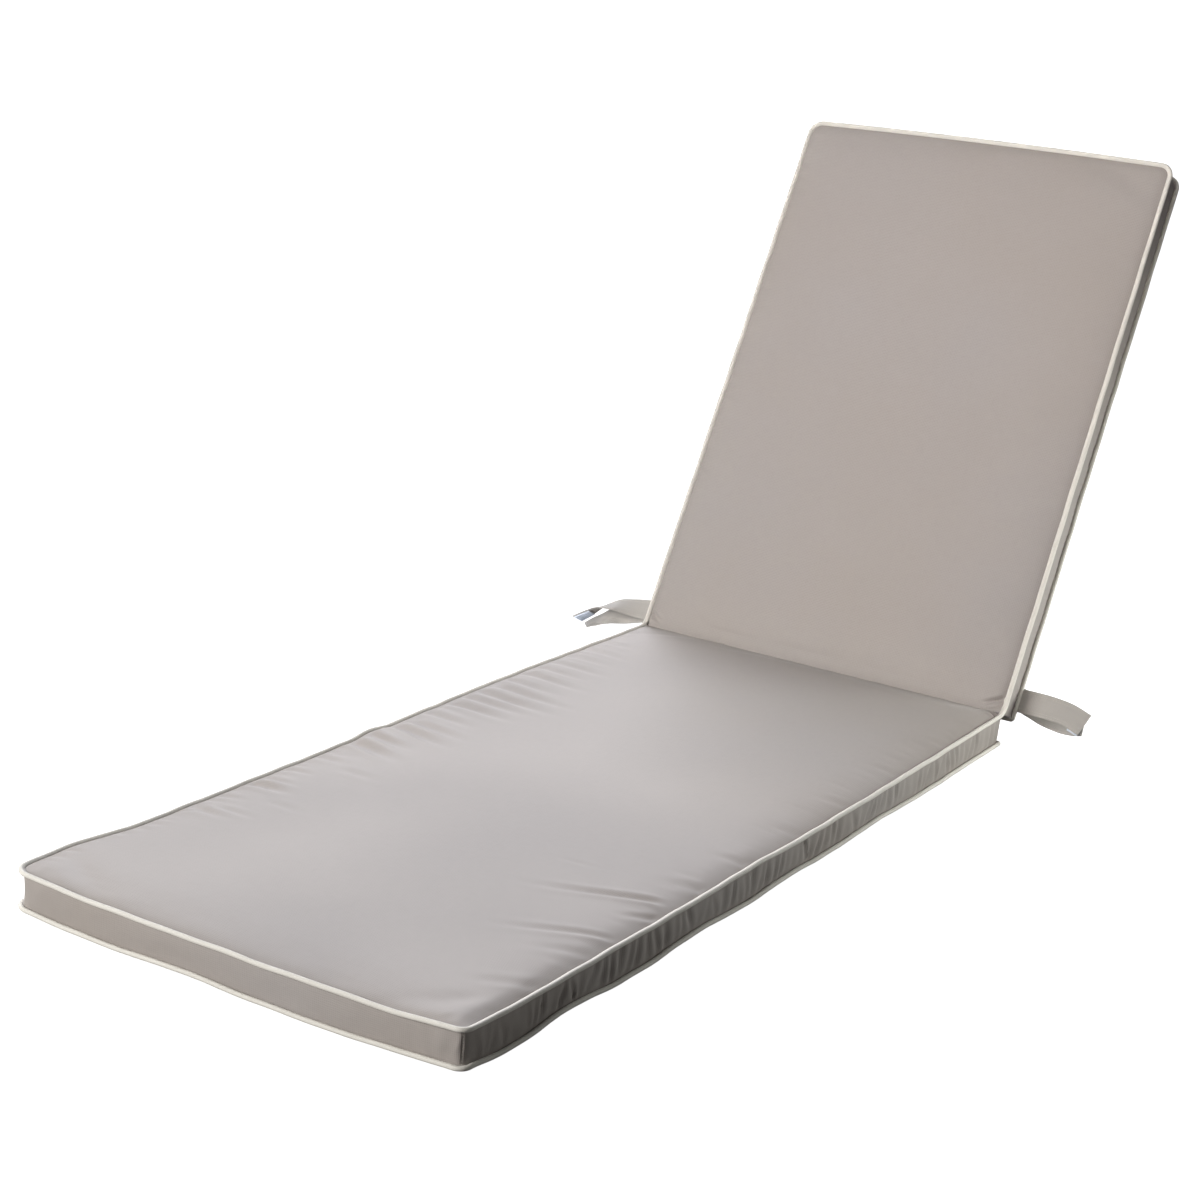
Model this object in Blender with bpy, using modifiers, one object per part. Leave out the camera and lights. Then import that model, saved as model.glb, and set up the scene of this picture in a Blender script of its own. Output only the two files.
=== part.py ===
"""Sun lounger cushion: a flat seat and a raised back, filled, under one piped cover with four tie straps.

Frame: +X to the right as seen from the foot, +Y from the foot to the hinge, +Z up, in metres.
The origin is the middle of the seat's flat underside.

The cushion is described on a flat pattern. x runs across it, s runs along it from the foot piping
to the top piping, and the level runs from 0 at the lower seam to 1 at the upper seam. The hinge is
the line s = SEAT_LENGTH, where the back turns up.
"""

import math

import bmesh
import bpy
from mathutils import Vector

# Driving dimensions
WIDTH = 0.550
SEAT_LENGTH = 1.221
BACK_LENGTH = 0.788
BOXING_HEIGHT = 0.0394
BACK_ANGLE = math.radians(61.6)
PIPING_RADIUS = 0.0025
TIE_WIDTH = 0.032
TIE_THICKNESS = 0.0018

# Cover: how far it swells between its seams, and how its outline strays from straight lines
TOP_CROWN = 0.006
REAR_CROWN = 0.004
CROWN_REACH = 0.090
CREASE_REACH = 0.050
CROWN_FULLNESS = 2.4
BOXING_BULGE = 0.0020
BULGE_FADE = 0.030
CORNER_RADIUS = 0.014
RIGHT_FOOT_RADIUS = 0.007
RIGHT_BOW = 0.006
FOOT_BOW = 0.004
TOP_BOW = 0.003
BOW_FADE = 0.200
FLARE = 0.012
FLARE_CENTRE = 0.075
FLARE_REACH = 0.120
FOOT_ROLL = 0.012

# Seams and the hinge
PIPING_NEST = 0.0032
LOWER_SEAM_HEIGHT = 0.0028
WEB_THICKNESS = 0.0045
END_SETBACK = 0.005
HINGE_CORNER_RADIUS = 0.0035
PIPING_BEND = 0.012

# Lines along which the cushion's block is sliced, measured in from a seam or from the hinge
SEAM_LINES = (0.006, 0.014, 0.028, 0.050, 0.090)
HINGE_LINES = (0.0025, 0.005, 0.014, 0.028, 0.050, 0.090)
MIDDLE_LINE = 0.160
PLAIN_STEP = 0.042
LEVELS = (0.2, 0.5, 0.8)
ON_SEAM = 1e-5

# Piping
PIPING_STEP = 0.020
CORNER_STEPS = 4

# Ties: where the straps leave the back's rear seam, and their small gaps
TIE_ROOT = 0.030
TIE_GAP = 0.0003
TIE_STEPS = 22
TANGENT_SHARE = 0.02
ROOT_SHARE = 0.20
PAD_STEPS = 4
PAD_END = 0.985
PAD_THICKNESS = 0.0012
PAD_WIDTH = 0.026
PAD_GAP = 0.0006
PAD_DROP = 0.005

# Each strap's centre line, a row for each place along it, in millimetres and degrees:
# how far it is out from the cushion's side, how far it has dropped, how far it lies to the rear,
# and the lean of its width above the horizontal.
TIE_COLUMNS = ("out", "drop", "rear", "lean")
TIE_ROUTES = {
    "tie_right_front": (
        (0, 0, 0, 61),
        (27, 0, 0, 60),
        (47, 1, 0, 58),
        (68, 4, 0, 57),
        (91, 12, 0, 58),
    ),
    "tie_right_rear": (
        (0, 0, 2.8, 61),
        (14, 6, 7, 60),
        (30, 14, 12, 58),
        (46, 18, 14, 57),
        (61, 19, 12.5, 57),
        (76, 17, 9, 57),
        (89, 13, 4.6, 58),
    ),
    "tie_left_upper": (
        (0, 0, 0, 61),
        (28, 3, 4, 50),
        (52, 4, 3, 32),
        (74, 5, -1, 16),
        (94, 11, -6, -3),
        (109, 20, -13, -17),
        (128, 33, -20, -24),
    ),
    "tie_left_lower": (
        (0, 0, 2.8, 61),
        (28, 9, 8, 47),
        (52, 15.5, 5, 42),
        (76, 20.3, -2.8, 38),
        (98, 31.4, -9.9, 22),
        (112, 39.3, -20.9, 10),
    ),
}

HALF_SEAM = WIDTH / 2 - PIPING_NEST
TOTAL_LENGTH = SEAT_LENGTH + BACK_LENGTH
UP_SLOPE = Vector((0, math.cos(BACK_ANGLE), math.sin(BACK_ANGLE)))
FACE_NORMAL = Vector((0, -math.sin(BACK_ANGLE), math.cos(BACK_ANGLE)))
HINGE = Vector((0, SEAT_LENGTH / 2, LOWER_SEAM_HEIGHT + BOXING_HEIGHT))
OUT_OF_HINGE = (Vector((0, 0, -1)) - FACE_NORMAL).normalized()


def clamp(value, low=0.0, high=1.0):
    """Keep a value between two limits."""
    return min(max(value, low), high)


def rise(distance, reach):
    """Share of the full swell at a distance in from a seam: quick at the seam, level past the reach."""
    return 1 - (1 - clamp(distance / reach)) ** CROWN_FULLNESS


def ease(value):
    """Smooth step from 0 to 1."""
    value = clamp(value)
    return value * value * (3 - 2 * value)


def bell(distance, reach):
    """Smooth hump, 1 at the middle and 0 at the reach on both sides."""
    return math.cos(math.pi / 2 * clamp(distance / reach, -1.0, 1.0)) ** 2


def round_corner(in_side, in_end, radius):
    """Turn a square corner of the pattern into an arc, given the distances in from both seams."""
    side = radius - in_side
    end = radius - in_end
    if side <= 0 or end <= 0:
        return in_side, in_end
    reach = max(side, end)
    angle = math.pi / 4 * end / side if side >= end else math.pi / 2 - math.pi / 4 * side / end
    return radius - reach * math.cos(angle), radius - reach * math.sin(angle)


def stray(x, s):
    """Move a point of the pattern by the outline's bows and flare, which fade towards the middle."""
    share = clamp(abs(x) / HALF_SEAM)
    if x > 0:
        outward = RIGHT_BOW * math.sin(math.pi * clamp(s / SEAT_LENGTH))
    else:
        outward = FLARE * bell(s - FLARE_CENTRE, FLARE_REACH)
    hollow = 1 - share * share
    foot = FOOT_BOW * hollow * ease(1 - s / BOW_FADE)
    top = TOP_BOW * hollow * ease(1 - (TOTAL_LENGTH - s) / BOW_FADE)
    return x + math.copysign(outward * share, x), s - foot + top


def in_world(x, s, height):
    """World place of a pattern point, at a height above the lower seam's level."""
    x, s = stray(x, s)
    if s <= SEAT_LENGTH:
        return Vector((x, s - SEAT_LENGTH / 2, LOWER_SEAM_HEIGHT + height))
    slope = UP_SLOPE * (s - SEAT_LENGTH) + FACE_NORMAL * (height - BOXING_HEIGHT)
    return HINGE + slope + Vector((x, 0, 0))


def cushion_point(block_point):
    """Place a point of the sliced block on the cushion's surface."""
    x, s, level = block_point
    from_hinge = abs(s - SEAT_LENGTH)
    on_seat = s < SEAT_LENGTH
    if from_hinge < ON_SEAM:
        return HINGE + Vector((x, 0, 0)) + OUT_OF_HINGE * WEB_THICKNESS * (1 - level)

    in_side = HALF_SEAM - abs(x)
    in_end = min(s, TOTAL_LENGTH - s) - PIPING_NEST
    on_side = in_side < ON_SEAM
    on_end = in_end < ON_SEAM
    at_right_foot = x > 0 and s < TOTAL_LENGTH / 2
    radius = RIGHT_FOOT_RADIUS if at_right_foot else CORNER_RADIUS
    rounded_side, rounded_end = round_corner(in_side, in_end, radius)
    x = math.copysign(HALF_SEAM - rounded_side, x)
    s += (rounded_end - in_end) * (1 if s < TOTAL_LENGTH / 2 else -1)

    foot = BOXING_HEIGHT * clamp(1 - from_hinge / END_SETBACK)
    height = foot + (BOXING_HEIGHT - foot) * level
    if level == 1:
        swell = rise(in_side, CROWN_REACH) * rise(in_end, CROWN_REACH)
        height += TOP_CROWN * swell * rise(from_hinge, CREASE_REACH)
    elif level == 0 and on_seat:
        height -= LOWER_SEAM_HEIGHT * ease(min(in_side, in_end, from_hinge - END_SETBACK) / FOOT_ROLL)
    elif level == 0:
        swell = rise(in_side, CROWN_REACH) * rise(in_end, CROWN_REACH)
        height -= REAR_CROWN * swell * rise(from_hinge - END_SETBACK, CROWN_REACH)

    bulge = BOXING_BULGE * (1 - (2 * level - 1) ** 2)
    if on_side:
        fade = ease(in_end / BULGE_FADE) * ease((from_hinge - END_SETBACK) / BULGE_FADE)
        x += math.copysign(bulge * fade, x)
    if on_end:
        s += bulge * ease(in_side / BULGE_FADE) * (-1 if on_seat else 1)
    return in_world(x, s, height)


def evenly(start, end, step):
    """Places between two lines, evenly spaced at about the step, with neither line itself."""
    count = max(1, round((end - start) / step))
    return [start + (end - start) * i / count for i in range(1, count)]


def lines_across():
    """Where the block is sliced from side to side."""
    reach = [HALF_SEAM - inward for inward in SEAM_LINES + (MIDDLE_LINE,)]
    return [-x for x in reach] + [0.0] + reach


def lines_along():
    """Where the block is sliced from foot to top, closest at the seams and at the hinge."""
    foot = [PIPING_NEST + inward for inward in SEAM_LINES]
    before = [SEAT_LENGTH - off for off in reversed(HINGE_LINES)]
    after = [SEAT_LENGTH + off for off in HINGE_LINES]
    top = [TOTAL_LENGTH - PIPING_NEST - inward for inward in reversed(SEAM_LINES)]
    seat = evenly(foot[-1], before[0], PLAIN_STEP)
    back = evenly(after[-1], top[0], PLAIN_STEP)
    return foot + seat + before + [SEAT_LENGTH] + after + back + top


def build_cushion():
    """Slice a plain block into its pattern and move every point of it onto the filled cover."""
    mesh = bmesh.new()
    bmesh.ops.create_cube(mesh, size=1)
    length = TOTAL_LENGTH - 2 * PIPING_NEST
    bmesh.ops.scale(mesh, vec=(2 * HALF_SEAM, length, 1), verts=mesh.verts)
    bmesh.ops.translate(mesh, vec=(0, TOTAL_LENGTH / 2, 0.5), verts=mesh.verts)
    for axis, places in enumerate((lines_across(), lines_along(), LEVELS)):
        normal = Vector([float(axis == i) for i in range(3)])
        for place in places:
            parts = mesh.verts[:] + mesh.edges[:] + mesh.faces[:]
            bmesh.ops.bisect_plane(mesh, geom=parts, dist=1e-6, plane_co=normal * place, plane_no=normal)
    for vertex in mesh.verts:
        vertex.co = cushion_point(vertex.co)
    bmesh.ops.recalc_face_normals(mesh, faces=mesh.faces)
    return finish_mesh("cushion", mesh)


def finish_mesh(name, mesh):
    """Make a named object of an edit mesh."""
    data = bpy.data.meshes.new(name)
    mesh.to_mesh(data)
    mesh.free()
    data.shade_smooth()
    data.set_sharp_from_angle(angle=math.radians(40))
    return bpy.data.objects.new(name, data)


def arc(centre_x, centre_s, radius, start):
    """Quarter turn on the pattern, anticlockwise from a start angle in degrees."""
    turns = [math.radians(start + 90 * i / CORNER_STEPS) for i in range(CORNER_STEPS + 1)]
    return [(centre_x + radius * math.cos(a), centre_s + radius * math.sin(a)) for a in turns]


def run(start, end):
    """Points of a straight run of piping between two places, on the block's slices, without its ends."""
    across = abs(end[0] - start[0]) > abs(end[1] - start[1])
    lines = sorted(lines_across() if across else lines_along())
    low, high = sorted((start[0], end[0]) if across else (start[1], end[1]))
    kept = []
    for line in lines:
        if line - (kept[-1] if kept else low) > PIPING_STEP and high - line > PIPING_STEP:
            kept.append(line)
    points = [(line, start[1]) if across else (start[0], line) for line in kept]
    forward = end[0] > start[0] if across else end[1] > start[1]
    return points if forward else points[::-1]


def pattern_loop(low, high, radii):
    """Closed rounded outline on the pattern, with its four radii, anticlockwise from the lower right corner."""
    side = WIDTH / 2
    low_right, high_right, high_left, low_left = radii
    corners = (
        arc(side - low_right, low + low_right, low_right, 270),
        arc(side - high_right, high - high_right, high_right, 0),
        arc(-side + high_left, high - high_left, high_left, 90),
        arc(-side + low_left, low + low_left, low_left, 180),
    )
    points = []
    for corner, following in zip(corners, corners[1:] + corners[:1]):
        points += corner + run(corner[-1], following[0])
    return points


def bend_at_hinge(x):
    """Piping points round the hinge, a smooth bend in place of the sharp corner."""
    before = in_world(x, SEAT_LENGTH - PIPING_BEND, BOXING_HEIGHT)
    corner = in_world(x, SEAT_LENGTH, BOXING_HEIGHT)
    after = in_world(x, SEAT_LENGTH + PIPING_BEND, BOXING_HEIGHT)
    shares = [i / 6 for i in range(7)]
    return [before * (1 - t) ** 2 + corner * 2 * t * (1 - t) + after * t * t for t in shares]


def top_loop():
    """Route of the upper piping: up both sides, round the foot and the top, bent at the hinge."""
    radius = CORNER_RADIUS + PIPING_NEST
    route = []
    previous = None
    for x, s in pattern_loop(0, TOTAL_LENGTH, (RIGHT_FOOT_RADIUS + PIPING_NEST, radius, radius, radius)):
        if previous is not None and (previous - SEAT_LENGTH) * (s - SEAT_LENGTH) < 0:
            bend = bend_at_hinge(x)
            route += bend if s > previous else bend[::-1]
        if abs(s - SEAT_LENGTH) > 2 * PIPING_BEND:
            route.append(in_world(x, s, BOXING_HEIGHT))
        previous = s
    return route


def build_piping(name, route):
    """Closed round cord along a route."""
    data = bpy.data.curves.new(name, "CURVE")
    data.dimensions = "3D"
    data.bevel_depth = PIPING_RADIUS
    data.bevel_resolution = 2
    spline = data.splines.new("POLY")
    spline.points.add(len(route) - 1)
    for point, place in zip(spline.points, route):
        point.co = (*place, 1)
    spline.use_cyclic_u = True
    return bpy.data.objects.new(name, data)


def build_pipings():
    """The upper piping, and the lower ones round the seat's underside and the back's rear."""
    radius = CORNER_RADIUS + PIPING_NEST
    hinge = HINGE_CORNER_RADIUS
    seat_radii = (RIGHT_FOOT_RADIUS + PIPING_NEST, hinge, hinge, radius)
    seat_end = SEAT_LENGTH - END_SETBACK + PIPING_NEST
    back_end = SEAT_LENGTH + END_SETBACK - PIPING_NEST
    under = [in_world(x, s, 0) for x, s in pattern_loop(0, seat_end, seat_radii)]
    rear = [in_world(x, s, 0) for x, s in pattern_loop(back_end, TOTAL_LENGTH, (hinge, radius, radius, hinge))]
    return [
        build_piping("piping_top", top_loop()),
        build_piping("piping_seat_underside", under),
        build_piping("piping_back_rear", rear),
    ]


def along_route(rows, share):
    """Row values at a share of the way along a route, on a smooth curve through its rows."""
    place = clamp(share) * (len(rows) - 1)
    index = min(int(place), len(rows) - 2)
    t = place - index
    picked = [rows[clamp(index + off, 0, len(rows) - 1)] for off in (-1, 0, 1, 2)]
    values = {}
    for name, a, b, c, d in zip(TIE_COLUMNS, *picked):
        slope_b = (c - a) / 2
        slope_c = (d - b) / 2
        curve = (2 * b - 2 * c + slope_b + slope_c) * t + 3 * c - 3 * b - 2 * slope_b - slope_c
        values[name] = (curve * t + slope_b) * t + b
    return values


def tie_centre(side, rows, share):
    """World place of a strap's centre line, and the lean of its width, at a share along it."""
    row = along_route(rows, share)
    root = HINGE + UP_SLOPE * TIE_ROOT - FACE_NORMAL * BOXING_HEIGHT
    out = WIDTH / 2 + PIPING_RADIUS + TIE_GAP + row["out"] / 1000
    return root + Vector((side * out, row["rear"] / 1000, -row["drop"] / 1000)), math.radians(row["lean"])


def strap_point(side, rows, share, across, off_face=0.0):
    """World place on a strap: a share along it, a distance across it, and a distance off its face."""
    centre, lean = tie_centre(side, rows, share)
    start = tie_centre(side, rows, share - TANGENT_SHARE)[0]
    end = tie_centre(side, rows, share + TANGENT_SHARE)[0]
    straight = Vector((side, 0, 0))
    ahead = straight.lerp((end - start).normalized(), ease(share / ROOT_SHARE)).normalized()
    width = Vector((0, math.cos(lean), math.sin(lean)))
    width = (width - ahead * width.dot(ahead)).normalized()
    face = ahead.cross(width) * side
    return centre + width * across + face * off_face


def build_strip(name, route, shares, width, thickness, shift=0.0, off_face=0.0):
    """Thickened strip through the given shares of a strap's route: the strap itself, or a pad on it."""
    rows = TIE_ROUTES[route]
    side = 1 if "right" in route else -1
    last = len(shares) - 1
    mesh = bmesh.new()
    bmesh.ops.create_grid(mesh, x_segments=last, y_segments=2, size=0.5)
    for vertex in mesh.verts:
        share = shares[round((vertex.co.x + 0.5) * last)]
        vertex.co = strap_point(side, rows, share, vertex.co.y * width + shift, off_face)
    strip = finish_mesh(name, mesh)
    solid = strip.modifiers.new("thickness", "SOLIDIFY")
    solid.thickness = thickness
    solid.offset = 0
    return strip


def build_strap(name):
    """One tie strap, from the cushion's rear seam to its free end."""
    shares = [i / TIE_STEPS for i in range(TIE_STEPS + 1)]
    return build_strip(name, name, shares, TIE_WIDTH, TIE_THICKNESS)


def build_pad(name, route, face, shift):
    """Hook pad sewn near a strap's free end, on the face whose sign is given."""
    shares = [i / TIE_STEPS for i in range(TIE_STEPS - PAD_STEPS, TIE_STEPS)] + [PAD_END]
    off_face = face * (TIE_THICKNESS / 2 + PAD_GAP + PAD_THICKNESS / 2)
    return build_strip(name, route, shares, PAD_WIDTH, PAD_THICKNESS, shift, off_face)


def build_ties():
    """Two straps at each side of the hinge, and the hook pads that show at their ends."""
    pads = [
        build_pad("hook_pad_left", "tie_left_upper", -1, 0.0),
        build_pad("hook_pad_right", "tie_right_front", -1, -PAD_DROP),
    ]
    return [build_strap(name) for name in TIE_ROUTES], pads


def cloth(name, colour, roughness):
    """Plain material with the piece's colour."""
    material = bpy.data.materials.new(name)
    material.use_nodes = True
    shader = material.node_tree.nodes["Principled BSDF"]
    shader.inputs["Base Color"].default_value = (*colour, 1)
    shader.inputs["Roughness"].default_value = roughness
    shader.inputs["Metallic"].default_value = 0
    return material


def main():
    """Clear the scene, build every piece and put it in the cushion's collection."""
    for thing in list(bpy.data.objects):
        bpy.data.objects.remove(thing, do_unlink=True)
    pieces = bpy.data.collections.new("sun_lounger_cushion")
    bpy.context.scene.collection.children.link(pieces)
    ties, pads = build_ties()
    dressed = (
        ([build_cushion()], cloth("cover_fabric", (0.45, 0.41, 0.38), 0.85)),
        (build_pipings(), cloth("piping_cord", (0.83, 0.79, 0.73), 0.7)),
        (ties, cloth("tie_fabric", (0.42, 0.39, 0.36), 0.85)),
        (pads, cloth("hook_pad", (0.66, 0.70, 0.76), 0.6)),
    )
    for objects, material in dressed:
        for thing in objects:
            thing.data.materials.append(material)
            pieces.objects.link(thing)


main()
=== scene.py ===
"""Looks of a sun lounger cushion: a filled canvas cover with cream welts, four tie straps and hook tape.

Frame: +X to the right as seen from the foot, +Y from the foot to the hinge, +Z up, in metres.
The cover is laid out on a flat pattern: x runs across it, s runs along it from the foot to the top,
and the level runs from 0 at the lower seam to 1 at the upper seam. The hinge is where the back turns up.
"""

import logging
import math
from dataclasses import dataclass
from enum import Enum
from typing import Any

import bmesh
import bpy
import numpy as np
from mathutils import Matrix, Vector


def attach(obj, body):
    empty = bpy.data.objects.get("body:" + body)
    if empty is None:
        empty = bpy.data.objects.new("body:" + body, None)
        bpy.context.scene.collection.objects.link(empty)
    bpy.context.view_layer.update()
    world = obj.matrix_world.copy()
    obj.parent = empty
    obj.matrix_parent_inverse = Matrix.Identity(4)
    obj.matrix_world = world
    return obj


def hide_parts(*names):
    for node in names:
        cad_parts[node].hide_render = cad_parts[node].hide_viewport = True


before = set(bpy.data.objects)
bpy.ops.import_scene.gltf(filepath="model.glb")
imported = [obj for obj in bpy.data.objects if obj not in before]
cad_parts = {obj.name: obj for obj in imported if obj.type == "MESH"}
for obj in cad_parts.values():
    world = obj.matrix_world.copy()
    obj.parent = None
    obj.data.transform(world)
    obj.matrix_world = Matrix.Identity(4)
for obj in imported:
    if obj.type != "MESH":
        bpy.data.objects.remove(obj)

LOG = logging.getLogger("sun_lounger_cushion")
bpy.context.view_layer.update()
PATTERN_ATTRIBUTE = "pattern_place"
SEAM_ATTRIBUTE = "seam_nearness"
CLOTH_UV = "cloth_metres"
NORMAL_ATTRIBUTE = "stitch_normal"
MM = 0.001
RANDOM_SEED = 27
TINY = 1e-6
LEAST = 1e-9
PANEL_EDGE = 1e-4

# Blender's Wave texture turns a place into an angle by its scale times this.
WAVE_FACTOR = 20

# Numbers of the sockets of a Mix node for colours, whose names repeat.
FACTOR = 0
COLOUR_A = 6
COLOUR_B = 7
COLOUR_OUT = 2


class Panel(Enum):
    """Cut piece of the cover that a face belongs to."""

    TOP = "top"
    UNDER = "under"
    SIDE = "side"
    END = "end"


class Side(Enum):
    """Side of the cushion as seen from the foot, with its sign along X."""

    LEFT = -1
    RIGHT = 1


class Face(Enum):
    """Face of a strap, with its sign off the strap's middle."""

    FRONT = 1
    REAR = -1


def linear_colour(value: str) -> tuple[float, float, float, float]:
    """Turn an sRGB hex value to Blender's linear colour.

    Args:
        value: Colour such as "#aabbcc".

    Returns:
        Red, green, blue and an alpha of 1.
    """
    channels = [int(value[i : i + 2], 16) / 255 for i in (1, 3, 5)]
    red, green, blue = [c / 12.92 if c <= 0.04045 else ((c + 0.055) / 1.055) ** 2.4 for c in channels]
    return red, green, blue, 1.0


def add_node(tree: Any, kind: str, settings: dict | None = None, links: dict | None = None) -> Any:
    """Add a node to a tree.

    Args:
        tree: Node tree that gets the node.
        kind: Blender's name for the type of node.
        settings: Values by attribute name, or by an input's name or number.
        links: Sockets that feed the node's inputs, by an input's name or number.

    Returns:
        The new node.
    """
    node = tree.nodes.new(kind)
    for name, value in (settings or {}).items():
        if isinstance(name, str) and hasattr(node, name):
            setattr(node, name, value)
        else:
            node.inputs[name].default_value = value
    for name, source in (links or {}).items():
        tree.links.new(source, node.inputs[name])
    return node


def ease(value: np.ndarray) -> np.ndarray:
    """Smooth step from 0 to 1."""
    value = np.clip(value, 0.0, 1.0)
    return value * value * (3 - 2 * value)


def bell(distance: np.ndarray, reach: float) -> np.ndarray:
    """Smooth hump, 1 at the middle and 0 at the reach on both sides."""
    return np.cos(np.pi / 2 * np.clip(distance / reach, -1.0, 1.0)) ** 2


def rise(distance: np.ndarray, reach: float, fullness: float) -> np.ndarray:
    """Share of the full swell at a distance in from a seam, quick at the seam and level past the reach."""
    return 1 - (1 - np.clip(distance / reach, 0.0, 1.0)) ** fullness


def new_object(name: str, data: Any) -> bpy.types.Object:
    """Make an object of a mesh or curve and put it in the scene."""
    thing = bpy.data.objects.new(name, data)
    bpy.context.scene.collection.objects.link(thing)
    return thing


def new_material(name: str) -> tuple[bpy.types.Material, Any, Any]:
    """Start a material of nodes, and give it with its tree and its shader."""
    material = bpy.data.materials.new(name)
    material.use_nodes = True
    return material, material.node_tree, material.node_tree.nodes["Principled BSDF"]


def wave_scale(spacing: float) -> float:
    """Scale at which a Wave texture's bands are this far apart."""
    return 2 * math.pi / WAVE_FACTOR / spacing


def write_uv(data: bpy.types.Mesh, places: np.ndarray) -> None:
    """Give a mesh its cloth's UV map in metres, with one place for each face corner."""
    data.uv_layers.new(name=CLOTH_UV).data.foreach_set("uv", places.astype(np.float32).ravel())


def write_attribute(data: bpy.types.Mesh, name: str, values: np.ndarray, domain: str = "POINT") -> None:
    """Give a mesh an attribute of numbers, or of directions where each value is a row of three."""
    kind, key = ("FLOAT_VECTOR", "vector") if values.ndim == 2 else ("FLOAT", "value")
    data.attributes.new(name, kind, domain).data.foreach_set(key, values.astype(np.float32).ravel())


def evaluated(thing: bpy.types.Object) -> bpy.types.Mesh:
    """Mesh that an object's modifiers make of it."""
    depsgraph = bpy.context.evaluated_depsgraph_get()
    return bpy.data.meshes.new_from_object(thing.evaluated_get(depsgraph))


def grid_faces(index: np.ndarray, flip: bool) -> np.ndarray:
    """Quads over a grid of vertex numbers.

    Args:
        index: Vertex numbers in rows and columns.
        flip: Whether the faces turn the other way.

    Returns:
        One row of four vertex numbers for each quad.
    """
    corners = [index[:-1, :-1], index[1:, :-1], index[1:, 1:], index[:-1, 1:]]
    quads = np.stack(corners, axis=-1).reshape(-1, 4)
    return quads[:, ::-1] if flip else quads


def thin_mesh(
    name: str, points: list[Vector], rows: int, columns: int, turned: bool, sharp: float
) -> bpy.types.Mesh:
    """Make the closed mesh of a thin flat piece.

    Args:
        name: Name of the mesh.
        points: Points of its front grid, then of its rear grid.
        rows: Rows of points on each face.
        columns: Points in each row.
        turned: Whether the faces turn the other way.
        sharp: Angle past which an edge stays sharp, in degrees.

    Returns:
        The mesh, with its faces outward.
    """
    front = np.arange(rows * columns).reshape(rows, columns)
    rear = rows * columns
    loop = np.concatenate([front[:, 0], front[-1, 1:], front[-2::-1, -1], front[0, -2:0:-1]])
    loop = np.append(loop, loop[0])
    rim = np.stack([loop, loop + rear])
    faces = [grid_faces(front, turned), grid_faces(front + rear, not turned), grid_faces(rim, turned)]
    data = bpy.data.meshes.new(name)
    data.from_pydata([tuple(point) for point in points], [], np.concatenate(faces).tolist())
    edit = bmesh.new()
    edit.from_mesh(data)
    bmesh.ops.recalc_face_normals(edit, faces=edit.faces)
    edit.to_mesh(data)
    edit.free()
    data.shade_smooth()
    data.set_sharp_from_angle(angle=math.radians(sharp))
    return data


def new_tree(name: str, sizes: dict[str, float | int]) -> tuple[bpy.types.NodeTree, Any]:
    """Start a node tree whose inputs are a mesh and named sizes.

    Args:
        name: Name of the tree.
        sizes: Value of each input by its name. A whole number makes a whole-number input.

    Returns:
        The tree, and the sockets that give its inputs.
    """
    tree = bpy.data.node_groups.new(name, "GeometryNodeTree")
    tree.interface.new_socket("Geometry", in_out="INPUT", socket_type="NodeSocketGeometry")
    for label, value in sizes.items():
        kind = "NodeSocketInt" if isinstance(value, int) else "NodeSocketFloat"
        tree.interface.new_socket(label, in_out="INPUT", socket_type=kind).default_value = value
    tree.interface.new_socket("Geometry", in_out="OUTPUT", socket_type="NodeSocketGeometry")
    return tree, add_node(tree, "NodeGroupInput").outputs


def stand_pieces(
    tree: Any, points: Any, piece: Any, turn: Any, seed: Any, spread: tuple[float, float], finish: Any
) -> None:
    """End a node tree: stand a piece on every point, and give the pieces their material.

    Args:
        tree: The tree.
        points: Socket of the points.
        piece: Socket of the piece.
        turn: Socket of the turn at each point.
        seed: Socket of the seed of the pieces' uneven size.
        spread: Smallest and largest share of the piece's size.
        finish: Material of the pieces.
    """
    low, high = spread
    uneven = add_node(
        tree, "FunctionNodeRandomValue", {"data_type": "FLOAT", 2: low, 3: high}, {"Seed": seed}
    )
    laid = add_node(
        tree,
        "GeometryNodeInstanceOnPoints",
        {},
        {"Points": points, "Instance": piece, "Rotation": turn, "Scale": uneven.outputs[1]},
    )
    real = add_node(tree, "GeometryNodeRealizeInstances", {}, {"Geometry": laid.outputs[0]})
    dressed = add_node(tree, "GeometryNodeSetMaterial", {"Material": finish}, {"Geometry": real.outputs[0]})
    add_node(tree, "NodeGroupOutput", {}, {"Geometry": dressed.outputs[0]})


def grow(
    name: str, places: list, normals: list, edges: list, tree: bpy.types.NodeTree, sizes: dict
) -> bpy.types.Object:
    """Run a node tree on points or lines, and keep the result as one plain mesh.

    Args:
        name: Name of the piece.
        places: World places.
        normals: Direction off the cloth at each place.
        edges: Pairs of places that make lines.
        tree: The tree.
        sizes: Value of each of its inputs by name.

    Returns:
        The finished piece.
    """
    data = bpy.data.meshes.new(name)
    data.from_pydata(places, edges, [])
    write_attribute(data, NORMAL_ATTRIBUTE, np.array(normals))
    piece = new_object(name, data)
    modifier = piece.modifiers.new("nodes", "NODES")
    modifier.node_group = tree
    for item in tree.interface.items_tree:
        if item.in_out == "INPUT" and item.name in sizes:
            modifier[item.identifier] = sizes[item.name]
    made = evaluated(piece)
    piece.modifiers.clear()
    piece.data = made
    made.name = name
    return piece


@dataclass(frozen=True)
class Swell:
    """Place along a seam where it stands off its line: its middle, its reach each way and its height."""

    at: float
    reach: float
    height: float

    def value(self, place: np.ndarray) -> np.ndarray:
        """Height at places along the seam."""
        return self.height * bell(place - self.at, self.reach)


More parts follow.
